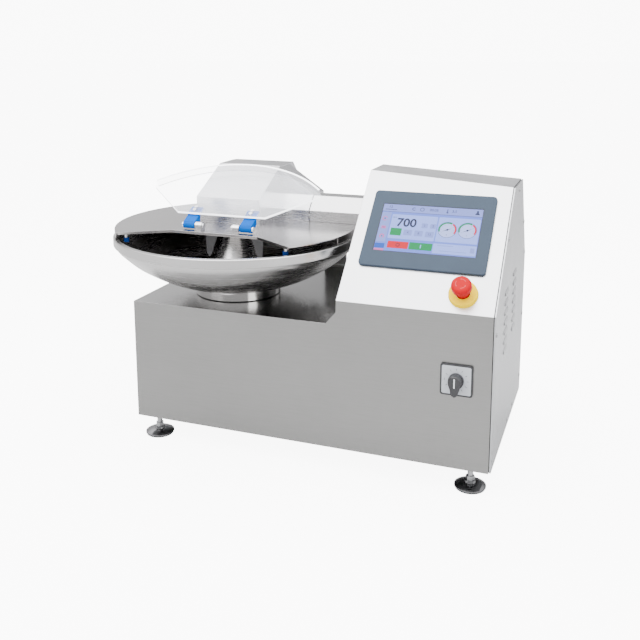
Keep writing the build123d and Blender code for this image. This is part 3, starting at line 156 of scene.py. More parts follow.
def casing_steel(name):
    """Brushed sheet: upright grain on the walls, a polished deck, the panel and upward caps painted lighter as painted
    light, the side facing the bowl painted dark as painted shade and its sloped foot painted lighter as painted light.
    """
    g = G(name)
    nrm = g.n("SeparateXYZ"); g.link(g.co.outputs["Normal"], nrm.inputs[0])
    pos = g.n("SeparateXYZ"); g.link(g.co.outputs["Object"], pos.inputs[0])
    up = g.math("GREATER_THAN", nrm.outputs[2], 0.9)
    low = g.math("LESS_THAN", pos.outputs[2], 0.345)
    deck = g.math("MULTIPLY", up, low)
    # faces turned to -X on the tower, the side facing the bowl, are painted dark: painted shade
    left = g.math("LESS_THAN", nrm.outputs[0], -0.35)
    painted_shade_side = g.math("MULTIPLY", left, g.math("GREATER_THAN", pos.outputs[0], 0.0))
    shiny = deck
    # inclined panel faces: they take the lighter tone, painted light
    panel = g.math("MULTIPLY", g.math("GREATER_THAN", nrm.outputs[2], 0.4), g.math("LESS_THAN", nrm.outputs[1], -0.4))
    fx = g.noise(34.0, (0.5, 22.0, 22.0), 6.0, 0.65)          # grain along X on the fronts
    fz = g.noise(34.0, (22.0, 22.0, 0.5), 6.0, 0.65)          # grain along Z on side walls
    side = g.math("GREATER_THAN", g.math("ABSOLUTE", nrm.outputs[0]), 0.6)
    mx = g.n("Mix", data_type="FLOAT")
    g.link(side, mx.inputs[0]); g.link(fx, mx.inputs[2]); g.link(fz, mx.inputs[3])
    fine = mx.outputs[0]
    big = g.noise(2.4, (1, 1, 1.4), 3.0, 0.5, loc=(5.0, 2.0, 1.0))
    smear = g.noise(9.0, (1.0, 1.0, 0.7), 5.0, 0.6, loc=(1.1, 7.2, 5.0))
    f = g.math("ADD", g.math("MULTIPLY", fine, 0.55), g.math("MULTIPLY", big, 0.45))
    walls = g.mix(g.ramp(f, 0.3, 0.7, 0.0, 1.0), c3(0.225, 0.223, 0.218), c3(0.265, 0.263, 0.258))
    # lighter tone of the same brushed steel: painted light on the panel and the upward caps
    painted_lit_tone = g.mix(g.ramp(f, 0.3, 0.7, 0.0, 1.0), c3(0.66, 0.665, 0.68), c3(0.74, 0.745, 0.76))
    deckc = g.mix(g.ramp(big, 0.3, 0.7, 0.0, 1.0), c3(0.34, 0.335, 0.33), c3(0.42, 0.415, 0.41))
    # upward faces high on the tower take the lighter tone: painted light
    lit_cap_mask = g.math("MULTIPLY", g.math("GREATER_THAN", nrm.outputs[2], 0.5), g.math("GREATER_THAN", nrm.outputs[1], -0.3))
    walls = g.mix(g.math("MULTIPLY", lit_cap_mask, g.math("GREATER_THAN", pos.outputs[2], 0.5)), walls, painted_lit_tone)
    lit_foot_mask = g.math("MULTIPLY", painted_shade_side, g.math("LESS_THAN", pos.outputs[2], 0.384))     # sloped foot of the tower's side, painted lighter: painted light
    # dark tone on the side facing the bowl: painted shade
    walls = g.mix(painted_shade_side, walls, c3(0.14, 0.14, 0.14))
    # lighter tone on the sloped foot: painted light
    walls = g.mix(lit_foot_mask, walls, c3(0.52, 0.52, 0.52))
    base = g.mix(deck, g.mix(panel, walls, painted_lit_tone), deckc)
    r0 = g.math("ADD", g.ramp(fine, 0.25, 0.75, 0.30, 0.40), g.ramp(smear, 0.35, 0.75, -0.02, 0.04))
    rr = g.n("Mix", data_type="FLOAT")
    g.link(shiny, rr.inputs[0]); g.link(r0, rr.inputs[2]); g.link(g.ramp(smear, 0.3, 0.75, 0.15, 0.24), rr.inputs[3])
    g.set(Base_Color=base, Roughness=rr.outputs[0], Metallic=1.0, Normal=g.bump(fine, 0.06, 0.0004, 0.0016))
    return g.m


def turned(name, col, rough, axis_xy, amount=0.12):
    """Spun and polished: fine rings round a vertical axis."""
    g = G(name)
    sub = g.n("VectorMath", operation="SUBTRACT")
    g.link(g.co.outputs["Object"], sub.inputs[0])
    sub.inputs[1].default_value = (axis_xy[0], axis_xy[1], 0.0)
    flat = g.n("VectorMath", operation="MULTIPLY")
    g.link(sub.outputs[0], flat.inputs[0])
    flat.inputs[1].default_value = (1, 1, 0)
    ln = g.n("VectorMath", operation="LENGTH")
    g.link(flat.outputs[0], ln.inputs[0])
    z = g.n("SeparateXYZ"); g.link(g.co.outputs["Object"], z.inputs[0])
    cb = g.n("CombineXYZ")
    g.link(ln.outputs["Value"], cb.inputs[0]); g.link(z.outputs[2], cb.inputs[1])
    nz = g.n("TexNoise")
    g.link(cb.outputs[0], nz.inputs["Vector"])
    nz.inputs["Scale"].default_value = 420.0
    nz.inputs["Detail"].default_value = 4.0
    rings = nz.outputs["Fac"]
    smear = g.noise(8.0, (1, 1, 1), 5.0, 0.6, loc=(2.0, 4.0, 6.0))
    base = g.mix(g.ramp(rings, 0.3, 0.7, 0.0, 1.0), c3(*dark(col, 1 - amount)), c3(*dark(col, 1 + amount * 0.6)))
    r = g.math("ADD", g.ramp(rings, 0.25, 0.75, rough * 0.85, rough * 1.2), g.ramp(smear, 0.35, 0.75, -0.01, 0.05))
    g.set(Base_Color=base, Roughness=g.math("MAXIMUM", r, 0.04), Metallic=1.0, Normal=g.bump(rings, 0.05, 0.0002, 0.0008))
    return g.m


def clear(name, tint, rough=0.03, milk=0.10, painted_glow=0.0):
    """Clear plate, a little milky: mostly see-through, with gloss and a faint haze; the last argument adds an even
    white glow, painted light on the plate.
    """
    g = G(name)
    smear = g.noise(7.0, (1, 1, 1), 5.0, 0.6, loc=(2.0, 4.0, 1.0))
    haze = g.noise(60.0, (1, 1, 1), 3.0, 0.6)
    base = g.mix(g.ramp(smear, 0.35, 0.7, 0.0, 1.0), c3(*tint), c3(*dark(tint, 0.95)))
    g.set(Base_Color=base, Roughness=g.ramp(smear, 0.3, 0.75, rough, rough + 0.06), Alpha=g.ramp(smear, 0.3, 0.75, milk, milk * 1.35),
          Normal=g.bump(haze, 0.015, 0.0002))
    g.b.inputs["Specular IOR Level"].default_value = 0.7
    g.b.inputs["Coat Weight"].default_value = 1.0
    g.b.inputs["Coat Roughness"].default_value = 0.03
    # even white glow on the plate: painted light
    if painted_glow:
        g.b.inputs["Emission Color"].default_value = (0.93, 0.95, 1.0, 1)
        g.b.inputs["Emission Strength"].default_value = painted_glow
    return g.m


def glow(name, col, k=1.0, rough=0.25):
    g = G(name)
    nz = g.noise(500.0, (1, 1, 1), 2.0, 0.5)
    c = g.mix(g.ramp(nz, 0.3, 0.7, 0.0, 1.0), c3(*dark(col, 0.97)), c3(*dark(col, 1.03)))
    g.set(Base_Color=c, Roughness=g.ramp(nz, 0.3, 0.7, rough, rough + 0.05), Emission_Color=c)
    g.b.inputs["Emission Strength"].default_value = k
    g.b.inputs["Specular IOR Level"].default_value = 0.12
    return g.m


M = {}
M["casing"] = casing_steel("casing_steel")
M["bowl"] = turned("bowl_steel", (0.46, 0.455, 0.45), 0.24, (XB, YB))
M["flange"] = turned("flange_steel", (0.62, 0.61, 0.60), 0.07, (XB, YB), 0.05)
M["lid"] = steel("lid_polished", (0.42, 0.405, 0.40), 0.21, (0.6, 9, 9), 26.0, 0.03, 0.0009, 0.008)
M["hood"] = steel("hood_satin", (0.60, 0.60, 0.615), 0.26, (0.6, 16, 16), 34.0, 0.05, 0.0016, 0.04)
M["arm"] = steel("arm_satin", (0.62, 0.615, 0.62), 0.24, (0.6, 16, 16), 34.0, 0.05, 0.0016, 0.04)
M["side"] = steel("side_sheet", (0.44, 0.445, 0.455), 0.30, (12, 12, 0.6), 30.0, 0.06, 0.0010, 0.05)
M["rear"] = steel("rear_sheet", (0.40, 0.40, 0.395), 0.32, (0.6, 16, 16), 34.0, 0.06, 0.0010, 0.05)
M["zinc"] = steel("zinc_plate", (0.42, 0.425, 0.43), 0.34, (1, 1, 1), 160.0, 0.12, 0.0005, 0.10)
# chrome foot pads given a dark base colour: painted shade on the feet
M["chrome"] = steel("chrome_painted_dark", (0.17, 0.17, 0.175), 0.16, (1, 1, 1), 120.0, 0.10, 0.0006, 0.03)
M["turnedx"] = steel("ground_steel", (0.68, 0.68, 0.69), 0.2, (14, 2, 2), 90.0, 0.08, 0.0005, 0.04)
M["blade"] = steel("blade_steel", (0.78, 0.78, 0.80), 0.12, (2, 14, 14), 80.0, 0.08, 0.0003, 0.03)
M["alu"] = steel("turned_aluminium", (0.72, 0.73, 0.74), 0.28, (6, 6, 1), 120.0, 0.08, 0.0006, 0.06)
M["cast"] = plastic("enamelled_casting", (0.10, 0.12, 0.145), 0.45, 0.5, 260.0, 0.35, 0.12, 0.002)
M["rubber"] = plastic("black_rubber", (0.018, 0.018, 0.018), 0.72, 0.3, 500.0, 0.25, 0.25, 0.0008)
M["blue"] = plastic("blue_nylon", (0.0, 0.085, 0.40), 0.55, 0.0, 700.0, 0.08, 0.10, 0.0008)
M["navy"] = plastic("dark_blue_nylon", (0.0, 0.02, 0.12), 0.50, 0.12, 700.0, 0.08, 0.10, 0.0008)
M["black"] = plastic("black_moulding", (0.016, 0.016, 0.018), 0.38, 0.5, 900.0, 0.12, 0.2, 0.0008)
M["grey"] = plastic("grey_moulding", (0.42, 0.44, 0.47), 0.42, 0.25, 900.0, 0.06, 0.03, 0.0006)
M["baffle"] = plastic("baffle_plastic", (0.07, 0.07, 0.075), 0.38, 0.4, 500.0, 0.08, 0.10, 0.0008)
M["bezel"] = plastic("bezel_moulding", (0.040, 0.056, 0.080), 0.52, 0.10, 1100.0, 0.10, 0.06, 0.0012)
M["red"] = plastic("red_button", (0.42, 0.003, 0.008), 0.42, 0.06, 600.0, 0.03, 0.05, 0.0010)
M["yellow"] = plastic("yellow_collar", (0.82, 0.56, 0.0), 0.60, 0.0, 700.0, 0.05, 0.05, 0.0008)
M["arrow"] = plastic("pale_red_print", (0.52, 0.06, 0.06), 0.5, 0.08, 900.0, 0.03, 0.02, 0.0)
M["white"] = plastic("white_print", (0.62, 0.63, 0.65), 0.45, 0.2, 900.0, 0.03, 0.02, 0.0)
M["ink"] = plastic("dark_print", (0.03, 0.03, 0.035), 0.45, 0.4, 900.0, 0.03, 0.05, 0.0)
# the shield glows at strength 2.2: painted light
M["clear"] = clear("clear_polycarbonate", (0.95, 0.96, 1.0), 0.06, 0.11, 2.2)
# white strips that glow along the shield's edges: a painted highlight
M["edge"] = plastic("glowing_edge_highlight", (0.94, 0.95, 0.97), 0.22, 0.5, 300.0, 0.05, 0.04, 0.0, 0.3)
M["edge"].node_tree.nodes[[n.name for n in M["edge"].node_tree.nodes if n.type == "BSDF_PRINCIPLED"][0]].inputs["Emission Color"].default_value = (0.95, 0.97, 1.0, 1)
M["edge"].node_tree.nodes[[n.name for n in M["edge"].node_tree.nodes if n.type == "BSDF_PRINCIPLED"][0]].inputs["Emission Strength"].default_value = 3.0
M["edge2"] = clear("bend_highlight", (0.55, 0.56, 0.60), 0.08, 0.45)
M["glass"] = glow("screen_back", (0.07, 0.105, 0.36), 0.8, 0.5)

LOOK = {
    "main_casing": "casing", "base_plate": "zinc", "side_gasket": "rubber", "right_side_cover": "side", "side_louvres": "side",
    "side_cover_screws": "zinc", "rear_cover": "rear", "rear_cover_screws": "zinc", "cable_gland": "black",
    "foot_pads": "chrome", "foot_rubbers": "rubber", "foot_spindles": "zinc", "foot_nuts": "zinc",
    "bowl_bearing_housing": "cast", "bowl_bearings": "turnedx", "shaft_seals": "rubber", "bowl_gearmotor": "cast", "bowl_belt": "rubber",
    "knife_shaft_housing": "turnedx", "knife_bearings": "turnedx", "knife_motor": "cast", "knife_belt": "rubber",
    "inverter_box": "black", "arm_cover": "arm", "lid_hinge_posts": "rear", "lid_hinge_pins": "turnedx",
    "hmi_bezel": "bezel", "hmi_screen": "glass", "hmi_gasket": "rubber", "hmi_rear_box": "zinc",
    "estop_collar": "yellow", "estop_contact_block": "black", "switch_frame": "black", "switch_plate": "grey", "switch_body": "black",
    "bowl": "bowl", "bowl_flange": "flange", "bowl_shaft": "turnedx", "bowl_pulley": "alu", "bowl_nut": "turnedx", "bowl_motor_pulley": "alu",
    "knife_shaft": "turnedx", "knife_spacers": "turnedx", "sickle_knives": "blade", "knife_nut": "turnedx", "knife_pulley": "alu",
    "knife_motor_pulley": "alu", "lid_plate": "lid", "knife_hood": "hood", "lid_hinge_arms": "hood", "hub_baffles": "baffle",
    "guide_posts": "turnedx", "guide_pads": "navy", "shield_brackets": "turnedx", "shield_pins": "turnedx",
    "splash_shield": "clear", "shield_hinge_arms": "blue", "shield_screws": "turnedx", "estop_button": "red", "switch_knob": "black",
}
for name, obj in N.items():
    mt = M[LOOK[name]]
    if obj.material_slots:
        for s in obj.material_slots:
            s.material = mt
    else:
        obj.data.materials.append(mt)


# ------------------------------------------------------------------ mesh helpers
def put(name, bm, mat, body, smooth=False):
    me = bpy.data.meshes.new(name)
    bmesh.ops.recalc_face_normals(bm, faces=bm.faces[:])
    bm.to_mesh(me)
    bm.free()
    ob = bpy.data.objects.new(name, me)
    bpy.context.scene.collection.objects.link(ob)
    me.materials.append(mat)
    if smooth:
        for p in me.polygons:
            p.use_smooth = True
    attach(ob, body)
    return ob


def prism(bm, pts, o, ex, ey, ez, h0, h1):
    """Closed prism of an outline (u, v) on axes ex, ey, from h0 to h1 along ez."""
    lo = [bm.verts.new(o + ex * u + ey * v + ez * h0) for u, v in pts]
    hi = [bm.verts.new(o + ex * u + ey * v + ez * h1) for u, v in pts]
    n = len(pts)
    bm.faces.new(lo[::-1]); bm.faces.new(hi)
    for i in range(n):
        bm.faces.new((lo[i], lo[(i + 1) % n], hi[(i + 1) % n], hi[i]))


def rrect(cu, cv, w, h, r, n=5):
    out = []
    for sx, sy, a in ((1, 1, 0), (-1, 1, 90), (-1, -1, 180), (1, -1, 270)):
        for k in range(n + 1):
            t = math.radians(a + 90 * k / n)
            out.append((cu + sx * (w / 2 - r) + r * math.cos(t), cv + sy * (h / 2 - r) + r * math.sin(t)))
    return out


def disc(cu, cv, r, n=40):
    return [(cu + r * math.cos(2 * math.pi * k / n), cv + r * math.sin(2 * math.pi * k / n)) for k in range(n)]


def sector(cu, cv, r0, r1, a0, a1, n=24):
    t = [math.radians(a0 + (a1 - a0) * k / n) for k in range(n + 1)]
    return [(cu + r1 * math.cos(a), cv + r1 * math.sin(a)) for a in t] + [(cu + r0 * math.cos(a), cv + r0 * math.sin(a)) for a in reversed(t)]


def text_mesh(bm, word, size, o, ex, ey, ez, h0, depth, bold=0.0):
    cu = bpy.data.curves.new("t", "FONT")
    cu.body = word
    cu.size = size
    cu.extrude = depth / 2
    cu.offset = bold
    cu.align_x = "CENTER"; cu.align_y = "CENTER"
    ob = bpy.data.objects.new("t", cu)
    bpy.context.scene.collection.objects.link(ob)
    bpy.context.view_layer.update()
    me = bpy.data.meshes.new_from_object(ob.evaluated_get(bpy.context.evaluated_depsgraph_get()))
    mat = Matrix((ex, ey, ez)).transposed().to_4x4()
    mat.translation = o + ez * (h0 + depth / 2)
    me.transform(mat)
    bm.from_mesh(me)
    bpy.data.objects.remove(ob); bpy.data.curves.remove(cu); bpy.data.meshes.remove(me)


EX = Vector((1, 0, 0))
mm = 0.001

# ------------------------------------------------------------------ touch screen picture
HMI_X, HMI_T = (0.5135 + 0.7813) / 2 - OX, (0.0885 + 0.2833) / 2
SC = Vector((HMI_X + 0.0005, Y0, ZT)) + PY * (HMI_T + 0.0013) + PN * 0.0054


def ui(name, outlines, mat, h0=0.0, h1=0.15):
    bm = bmesh.new()
    for o in outlines:
        prism(bm, [(u * mm, v * mm) for u, v in o], SC, EX, PY, PN, h0 * mm, h1 * mm)
    return put(name, bm, mat, "frame")


def ui_text(name, items, mat, h0=0.15):
    bm = bmesh.new()
    for w, s, u, v, b in items:
        text_mesh(bm, w, s * mm, SC + EX * (u * mm) + PY * (v * mm), EX, PY, PN, h0 * mm, 0.08 * mm, b * mm)
    return put(name, bm, mat, "frame")


S_head = glow("screen_header", (0.105, 0.135, 0.34), 0.8, 0.5)
S_pale = glow("screen_pale", (0.14, 0.19, 0.46), 0.8, 0.5)
S_dark = glow("screen_dark", (0.010, 0.012, 0.03), 0.1)
S_mid = glow("screen_mid", (0.05, 0.06, 0.15), 0.3)
S_red = glow("screen_red", (0.30, 0.004, 0.012), 0.9, 0.5)
S_green = glow("screen_green", (0.0, 0.12, 0.035), 0.7, 0.5)
S_blue = glow("screen_blue", (0.01, 0.045, 0.24), 0.7, 0.5)
S_pink = glow("screen_pink", (0.28, 0.07, 0.20), 0.7)
S_white = glow("screen_white", (0.20, 0.24, 0.44), 0.9, 0.5)

ui("ui_header", [rrect(0, 50.5, 217, 19, 1.0)], S_head)
ui("ui_header_line", [rrect(0, 40.4, 217, 0.9, 0.2)], S_mid)
ui("ui_sidebar", [rrect(-97.5, 0, 21, 76, 1.0)], S_head)
ui("ui_main_field", [rrect(-34, 3, 100, 62, 2.2)], S_pale)
ui("ui_gauge_field", [rrect(62.5, 3, 88, 62, 2.2)], S_pale)
ui("ui_message_field", [rrect(62, -44.5, 90, 24, 1.4)], S_pale)
ui("ui_message_lines", [rrect(42, -37, 34, 1.6, 0.5), rrect(60, -50, 56, 1.6, 0.5), rrect(99, -44, 9, 12, 1.0)], S_head, 0.15, 0.22)
ui("ui_side_icons", [sector(-99, 21.7, 4.0, 5.8, 15, 330), rrect(-97.5, -1.2, 10, 7, 1.5), sector(-97, -23.8, 3.0, 5.6, -60, 240)], S_pink, 0.15, 0.25)
ui("ui_side_marks", [disc(-99, 21.7, 1.8), rrect(-97.5, -1.2, 5, 2, 0.5), disc(-97, -23.8, 1.6)], S_mid, 0.25, 0.32)
ui("ui_corner_tab", [rrect(-97, -48, 21, 12, 1.0)], S_blue, 0.0, 0.15)
ui("ui_corner_tab_low", [rrect(-97, -57.6, 21, 5.5, 1.0)], S_pink, 0.0, 0.15)
ui("ui_ready_key", [rrect(-68.7, -10.7, 24, 18.5, 1.4)], S_green, 0.15, 0.25)
ui("ui_speed_keys", [rrect(u, v, 18, 14, 1.4) for u, v in ((-42.6, -10.8), (-19.3, -11.2), (4.2, -12.0))] + [rrect(u, 9.2, 13, 12, 1.4) for u in (-9.3, 8.9)], S_head, 0.15, 0.25)
ui("ui_stop", [rrect(-58.1, -43.3, 45, 17, 1.4)], S_red)
ui("ui_start", [rrect(-9, -43.2, 49, 17.5, 1.4)], S_green)
ui("ui_stop_mark", [sector(-58.1, -43.3, 3.0, 4.4, 0, 359.9, 30)], S_dark, 0.15, 0.25)
ui("ui_start_mark", [rrect(-9, -43.2, 2.0, 9, 0.8)], S_pale, 0.15, 0.25)
for i, (u, v) in enumerate(((40, 3.2), (82, 4.7))):
    ui(f"ui_gauge_{i}_rim", [sector(u, v, 19.0, 19.9, 0, 359.9, 60)], S_mid, 0.15, 0.25)
    ui(f"ui_gauge_{i}_face", [disc(u, v, 18.8, 48)], S_white, 0.15, 0.22)
    ui(f"ui_gauge_{i}_green", [sector(u, v, 15.6, 18.8, 62, 200)], S_green, 0.22, 0.3)
    ui(f"ui_gauge_{i}_red", [sector(u, v, 15.6, 18.8, -30, 56)], S_red, 0.22, 0.3)
    ui(f"ui_gauge_{i}_ticks", [[(u + r * math.cos(t + d), v + r * math.sin(t + d)) for r, d in ((12.4, -0.02), (14.2, -0.02), (14.2, 0.02), (12.4, 0.02))] for t in [math.radians(-30 + 30 * k) for k in range(9)]], S_mid, 0.22, 0.28)
    a = math.radians(205)
    ca, sa = math.cos(a), math.sin(a)
    ui(f"ui_gauge_{i}_needle", [[(u - sa * 0.9, v + ca * 0.9), (u + sa * 0.9, v - ca * 0.9), (u + ca * 11.5, v + sa * 11.5)], [(u + sa * 0.9, v - ca * 0.9), (u - sa * 0.9, v + ca * 0.9), (u - ca * 9.5, v - sa * 9.5)], disc(u, v, 2.2, 20)], S_dark, 0.3, 0.38)
ui_text("ui_big_number", [("700", 29, -49.5, 13.0, 0.7)], S_dark)
ui_text("ui_small_numbers", [("00:05", 8.5, 4, 50.5, 0.2), ("3.5", 8.5, 48, 50.5, 0.2), ("12", 8.5, -92, 53, 0.2), ("rpm", 5, -78, 26.5, 0.1)], S_mid)
ui_text("ui_key_numbers", [("1", 8, -9.3, 9.2, 0.1), ("2", 8, 8.9, 9.2, 0.1), ("4", 7, -42.6, -10.8, 0.1), ("8", 7, -19.3, -11.2, 0.1), ("12", 7, 4.2, -12.0, 0.1)], S_mid, 0.25)
ui_text("ui_gauge_numbers", [("0", 5, 40, -9.5, 0.0), ("5", 5, 82, -8.0, 0.0)], S_mid, 0.22)
ui("ui_header_icons", [sector(-40, 50.5, 2.2, 4.2, 40, 330), sector(-22, 50.5, 3.4, 5.0, 0, 359.9, 30), rrect(33, 51, 2.2, 9, 1.0), disc(33, 46.8, 2.4), rrect(-90, 46, 26, 2.0, 0.8)], S_mid, 0.15, 0.25)
ui("ui_header_user", [disc(97, 53.5, 2.4), sector(97, 46, 0.01, 4.8, 0, 180)], S_dark, 0.15, 0.25)

# a glass sheet over the picture is left out; the bezel's inner chamfer frames it
bm = bmesh.new()
W, H = 109.5, 61.2
ring_o = rrect(0, 0, 2 * W, 2 * H, 0.6, 2)
ring_i = rrect(0, 0, 2 * W - 3.0, 2 * H - 3.0, 0.6, 2)
n = len(ring_o)
a = [bm.verts.new(SC + EX * (u * mm) + PY * (v * mm) + PN * (0.75 * mm)) for u, v in ring_o]
b = [bm.verts.new(SC + EX * (u * mm) + PY * (v * mm) + PN * (0.12 * mm)) for u, v in ring_i]
c = [bm.verts.new(SC + EX * (u * mm) + PY * (v * mm) + PN * (0.02 * mm)) for u, v in ring_o]
for i in range(n):
    j = (i + 1) % n
    bm.faces.new((a[i], a[j], b[j], b[i])); bm.faces.new((b[i], b[j], c[j], c[i])); bm.faces.new((c[i], c[j], a[j], a[i]))
put("bezel_inner_chamfer", bm, M["black"], "frame")

# ------------------------------------------------------------------ switch markings and knob line
SWX, SWZ = 0.7411 - OX, 0.2446
FN = Vector((0, -1, 0)); UZ = Vector((0, 0, 1))
SWO = Vector((SWX, Y0, SWZ))
bm = bmesh.new()
text_mesh(bm, "0", 7 * mm, SWO + UZ * (-0.0240) + EX * 0.0, EX, UZ, FN, 4.6 * mm, 0.12 * mm, 0.1 * mm)
text_mesh(bm, "1", 7 * mm, SWO + EX * (-0.0240), EX, UZ, FN, 4.6 * mm, 0.12 * mm, 0.1 * mm)
for ang in range(0, 360, 30):
    ca, sa = math.cos(math.radians(ang)), math.sin(math.radians(ang))
    if ang in (180, 270):
        continue
    u = EX * ca + UZ * sa; v = EX * -sa + UZ * ca
    prism(bm, [(0.0205, -0.0004), (0.0245, -0.0004), (0.0245, 0.0004), (0.0205, 0.0004)], SWO, u, v, FN, 4.6 * mm, 4.72 * mm)
put("switch_scale_marks", bm, M["ink"], "frame")
bm = bmesh.new()
prism(bm, [(-0.0013, -0.008), (0.0013, -0.008), (0.0013, 0.0112), (-0.0013, 0.0112)], SWO, EX, UZ, FN, 27.2 * mm, 27.35 * mm)
put("knob_white_line", bm, M["white"], "switch_knob")

# ------------------------------------------------------------------ emergency stop turning arrows
EO = Vector((0.7437 - OX, Y0, ZT)) + PY * 0.0432
bm = bmesh.new()
for k in range(3):
    a0 = 30 + 120 * k
    prof = sector(0, 0, 9.6, 11.0, a0, a0 + 62, 14)
    tip = a0 + 78
    head = [(8.4 * math.cos(math.radians(a0 + 60)), 8.4 * math.sin(math.radians(a0 + 60))),
            (12.2 * math.cos(math.radians(a0 + 60)), 12.2 * math.sin(math.radians(a0 + 60))),
            (10.3 * math.cos(math.radians(tip)), 10.3 * math.sin(math.radians(tip)))]
    for poly in (prof, head):
        prism(bm, [(u * mm, v * mm) for u, v in poly], EO, EX, PY, PN, 43.9 * mm, 44.12 * mm)
put("stop_turn_arrows", bm, M["arrow"], "estop_button")

# ------------------------------------------------------------------ glowing strips on the clear shield's edges: painted highlights
YS, ZS = 0.060 - OY, 0.503
th = math.radians(-153.0)


def raised(x, y, z):
    dy, dz = y - YS, z - ZS
    return Vector((x, YS + dy * math.cos(th) - dz * math.sin(th), ZS + dy * math.sin(th) + dz * math.cos(th)))


Z0, Z1 = 0.4866, 0.4906
SXT, SYT, RS = 0.214, -0.212, math.hypot(0.214, 0.212)
front = [(-SXT + 0.004, SYT + 0.0033), (-0.1095, -0.1247), (-0.1080, -0.1235), (0.1080, -0.1235), (0.1095, -0.1247), (SXT - 0.004, SYT + 0.0033)]


def strip(name, path, off, z0, z1, mat, thick):
    """Closed band of thickness thick that follows path (x, y) in the closed shield, then raised."""
    bm = bmesh.new()
    ring = []
    for i, (x, y) in enumerate(path):
        a = Vector(path[max(i - 1, 0)]); b = Vector(path[min(i + 1, len(path) - 1)])
        t = (b - a).normalized()
        nrm = Vector((-t.y, t.x))
        row = []
        for k, z in ((off, z0), (off + thick, z0), (off + thick, z1), (off, z1)):
            p = Vector((x, y)) + nrm * k
            row.append(bm.verts.new(raised(XB + p.x, YB + p.y, z)))
        ring.append(row)
    for r0, r1 in zip(ring, ring[1:]):
        for k in range(4):
            bm.faces.new((r0[k], r0[(k + 1) % 4], r1[(k + 1) % 4], r1[k]))
    bm.faces.new(ring[0]); bm.faces.new(ring[-1][::-1])
    return put(name, bm, mat, "shield")


strip("shield_front_edge", front, 0.00005, Z0 - 0.0002, Z1 + 0.0002, M["edge"], 0.0005)
arc = [(RS * math.cos(math.radians(a)), RS * math.sin(math.radians(a))) for a in [-133.6 + 87.2 * k / 60 for k in range(61)]]
strip("shield_rim_edge", arc, -0.0004, Z0 - 0.0144, Z0 - 0.0136, M["edge"], 0.0040)
strip("shield_bend_edge", arc, -0.0003, Z1 - 0.0012, Z1 + 0.0002, M["edge2"], 0.0012)

# ------------------------------------------------------------------ floor, light, camera
bm = bmesh.new()
R = 60.0
vs = [bm.verts.new((x, y, -0.0002)) for x, y in ((-R, -R), (R, -R), (R, R), (-R, R))]
bm.faces.new(vs)
me = bpy.data.meshes.new("floor"); bm.to_mesh(me); bm.free()
floor = bpy.data.objects.new("floor", me)
bpy.context.scene.collection.objects.link(floor)
g = G("floor_pale")
fz = g.noise(1.2, (1, 1, 1), 2.0, 0.5)
g.set(Base_Color=g.mix(fz, c3(0.60, 0.60, 0.60), c3(0.62, 0.62, 0.62)), Roughness=g.ramp(fz, 0.3, 0.7, 0.7, 0.78))
flp = g.n("LightPath")
g.b.inputs["Emission Color"].default_value = (1, 1, 1, 1)
g.link(g.math("MULTIPLY", flp.outputs["Is Camera Ray"], 8.2), g.b.inputs["Emission Strength"])
me.materials.append(g.m)

w = bpy.data.worlds.new("studio")
bpy.context.scene.world = w
w.use_nodes = True
wt = w.node_tree
bg = next(n for n in wt.nodes if n.type == "BACKGROUND")
out = next(n for n in wt.nodes if n.type == "OUTPUT_WORLD")
tc = wt.nodes.new("ShaderNodeTexCoord")
sp = wt.nodes.new("ShaderNodeSeparateXYZ"); wt.links.new(tc.outputs["Generated"], sp.inputs[0])


def wmap(sock, lo, hi, a, b):
    x = wt.nodes.new("ShaderNodeMapRange"); x.interpolation_type = "SMOOTHSTEP"
    wt.links.new(sock, x.inputs["Value"])
    for k, v in (("From Min", lo), ("From Max", hi), ("To Min", a), ("To Max", b)):
        x.inputs[k].default_value = v
    return x.outputs[0]


def wmul(a, b, op="MULTIPLY"):
    x = wt.nodes.new("ShaderNodeMath"); x.operation = op
    for s, v in zip(x.inputs, (a, b)):
        if isinstance(v, float):
            s.default_value = v
        else:
            wt.links.new(v, s)
    return x.outputs[0]


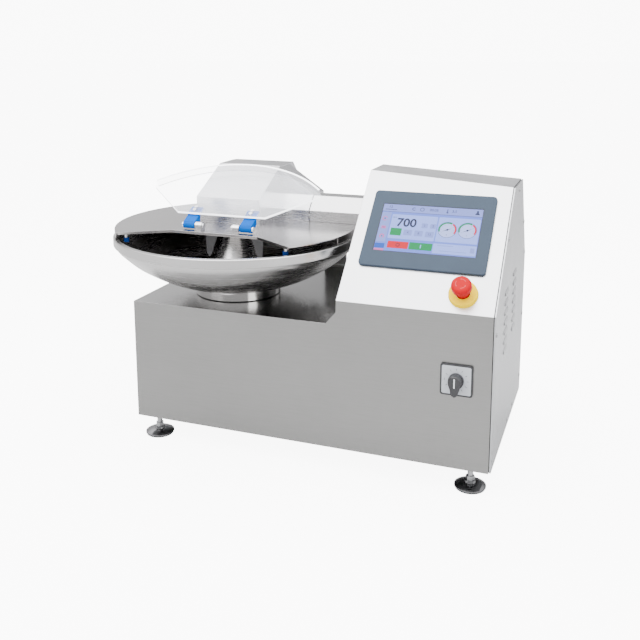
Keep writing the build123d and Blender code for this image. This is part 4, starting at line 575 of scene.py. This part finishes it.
high = wmap(sp.outputs[2], 0.25, 0.75, 0.0, 1.0)        # bright ceiling
back = wmap(sp.outputs[1], 0.0, 0.55, 0.0, 1.0)         # greyer behind the machine
side = wmul(wmul(back, -0.38), 1.0, "ADD")              # 1 at the front, 0.45 behind
left = wmul(wmul(wmap(sp.outputs[0], -0.54, -0.28, 1.0, 0.0), back), 1.1)   # brighter behind the left side
lev = wmul(wmul(side, wmul(left, 1.0, "ADD")), wmul(high, 1.0, "ADD"))
lev = wmul(lev, wmul(wmul(high, 0.7), 0.95, "ADD"))
bg.inputs["Color"].default_value = (0.985, 0.985, 1.0, 1)
wt.links.new(wmul(lev, 1.0), bg.inputs["Strength"])
bg2 = wt.nodes.new("ShaderNodeBackground")
bg2.inputs["Color"].default_value = (1, 1, 1, 1)
bg2.inputs["Strength"].default_value = 10.0
lp = wt.nodes.new("ShaderNodeLightPath")
mixw = wt.nodes.new("ShaderNodeMixShader")
wt.links.new(lp.outputs["Is Camera Ray"], mixw.inputs[0])
wt.links.new(bg.outputs[0], mixw.inputs[1]); wt.links.new(bg2.outputs[0], mixw.inputs[2])
wt.links.new(mixw.outputs[0], out.inputs["Surface"])


def area(name, loc, target, size, power, col=(1, 1, 1)):
    li = bpy.data.lights.new(name, "AREA")
    li.shape = "RECTANGLE"; li.size, li.size_y = size
    li.energy = power
    li.color = col
    ob = bpy.data.objects.new(name, li)
    bpy.context.scene.collection.objects.link(ob)
    ob.location = loc
    ob.rotation_euler = (Vector(target) - Vector(loc)).to_track_quat("-Z", "Y").to_euler()
    return ob


area("key", (-1.6, -2.2, 2.4), (0, 0, 0.3), (1.8, 1.8), 70)
area("top", (0.0, -0.3, 2.9), (0, 0, 0.3), (3.2, 2.6), 110)
area("fill", (2.6, -1.4, 1.4), (0.2, 0, 0.3), (1.4, 1.6), 35)

CX = Vector((1.027608 - OX, -1.557749 - OY, 0.890651))
yaw, pitch, roll, foc, cy = 0.35384, 0.17915, -0.00185, 830.494, 200.0
fwd = Vector((-math.sin(yaw) * math.cos(pitch), math.cos(yaw) * math.cos(pitch), -math.sin(pitch)))
rt = Vector((math.cos(yaw), math.sin(yaw), 0)); up = rt.cross(fwd)
r2 = rt * math.cos(roll) + up * math.sin(roll); u2 = up * math.cos(roll) - rt * math.sin(roll)
cam = bpy.data.cameras.new("cam")
cam.sensor_fit = "HORIZONTAL"; cam.sensor_width = 36.0
cam.lens = foc / 640 * 36.0
cam.shift_y = (cy - 320) / 640
cam.clip_start = 0.05; cam.clip_end = 200
co = bpy.data.objects.new("cam", cam)
bpy.context.scene.collection.objects.link(co)
mw = Matrix((r2, u2, -fwd)).transposed().to_4x4()
mw.translation = CX
co.matrix_world = mw
bpy.context.scene.camera = co
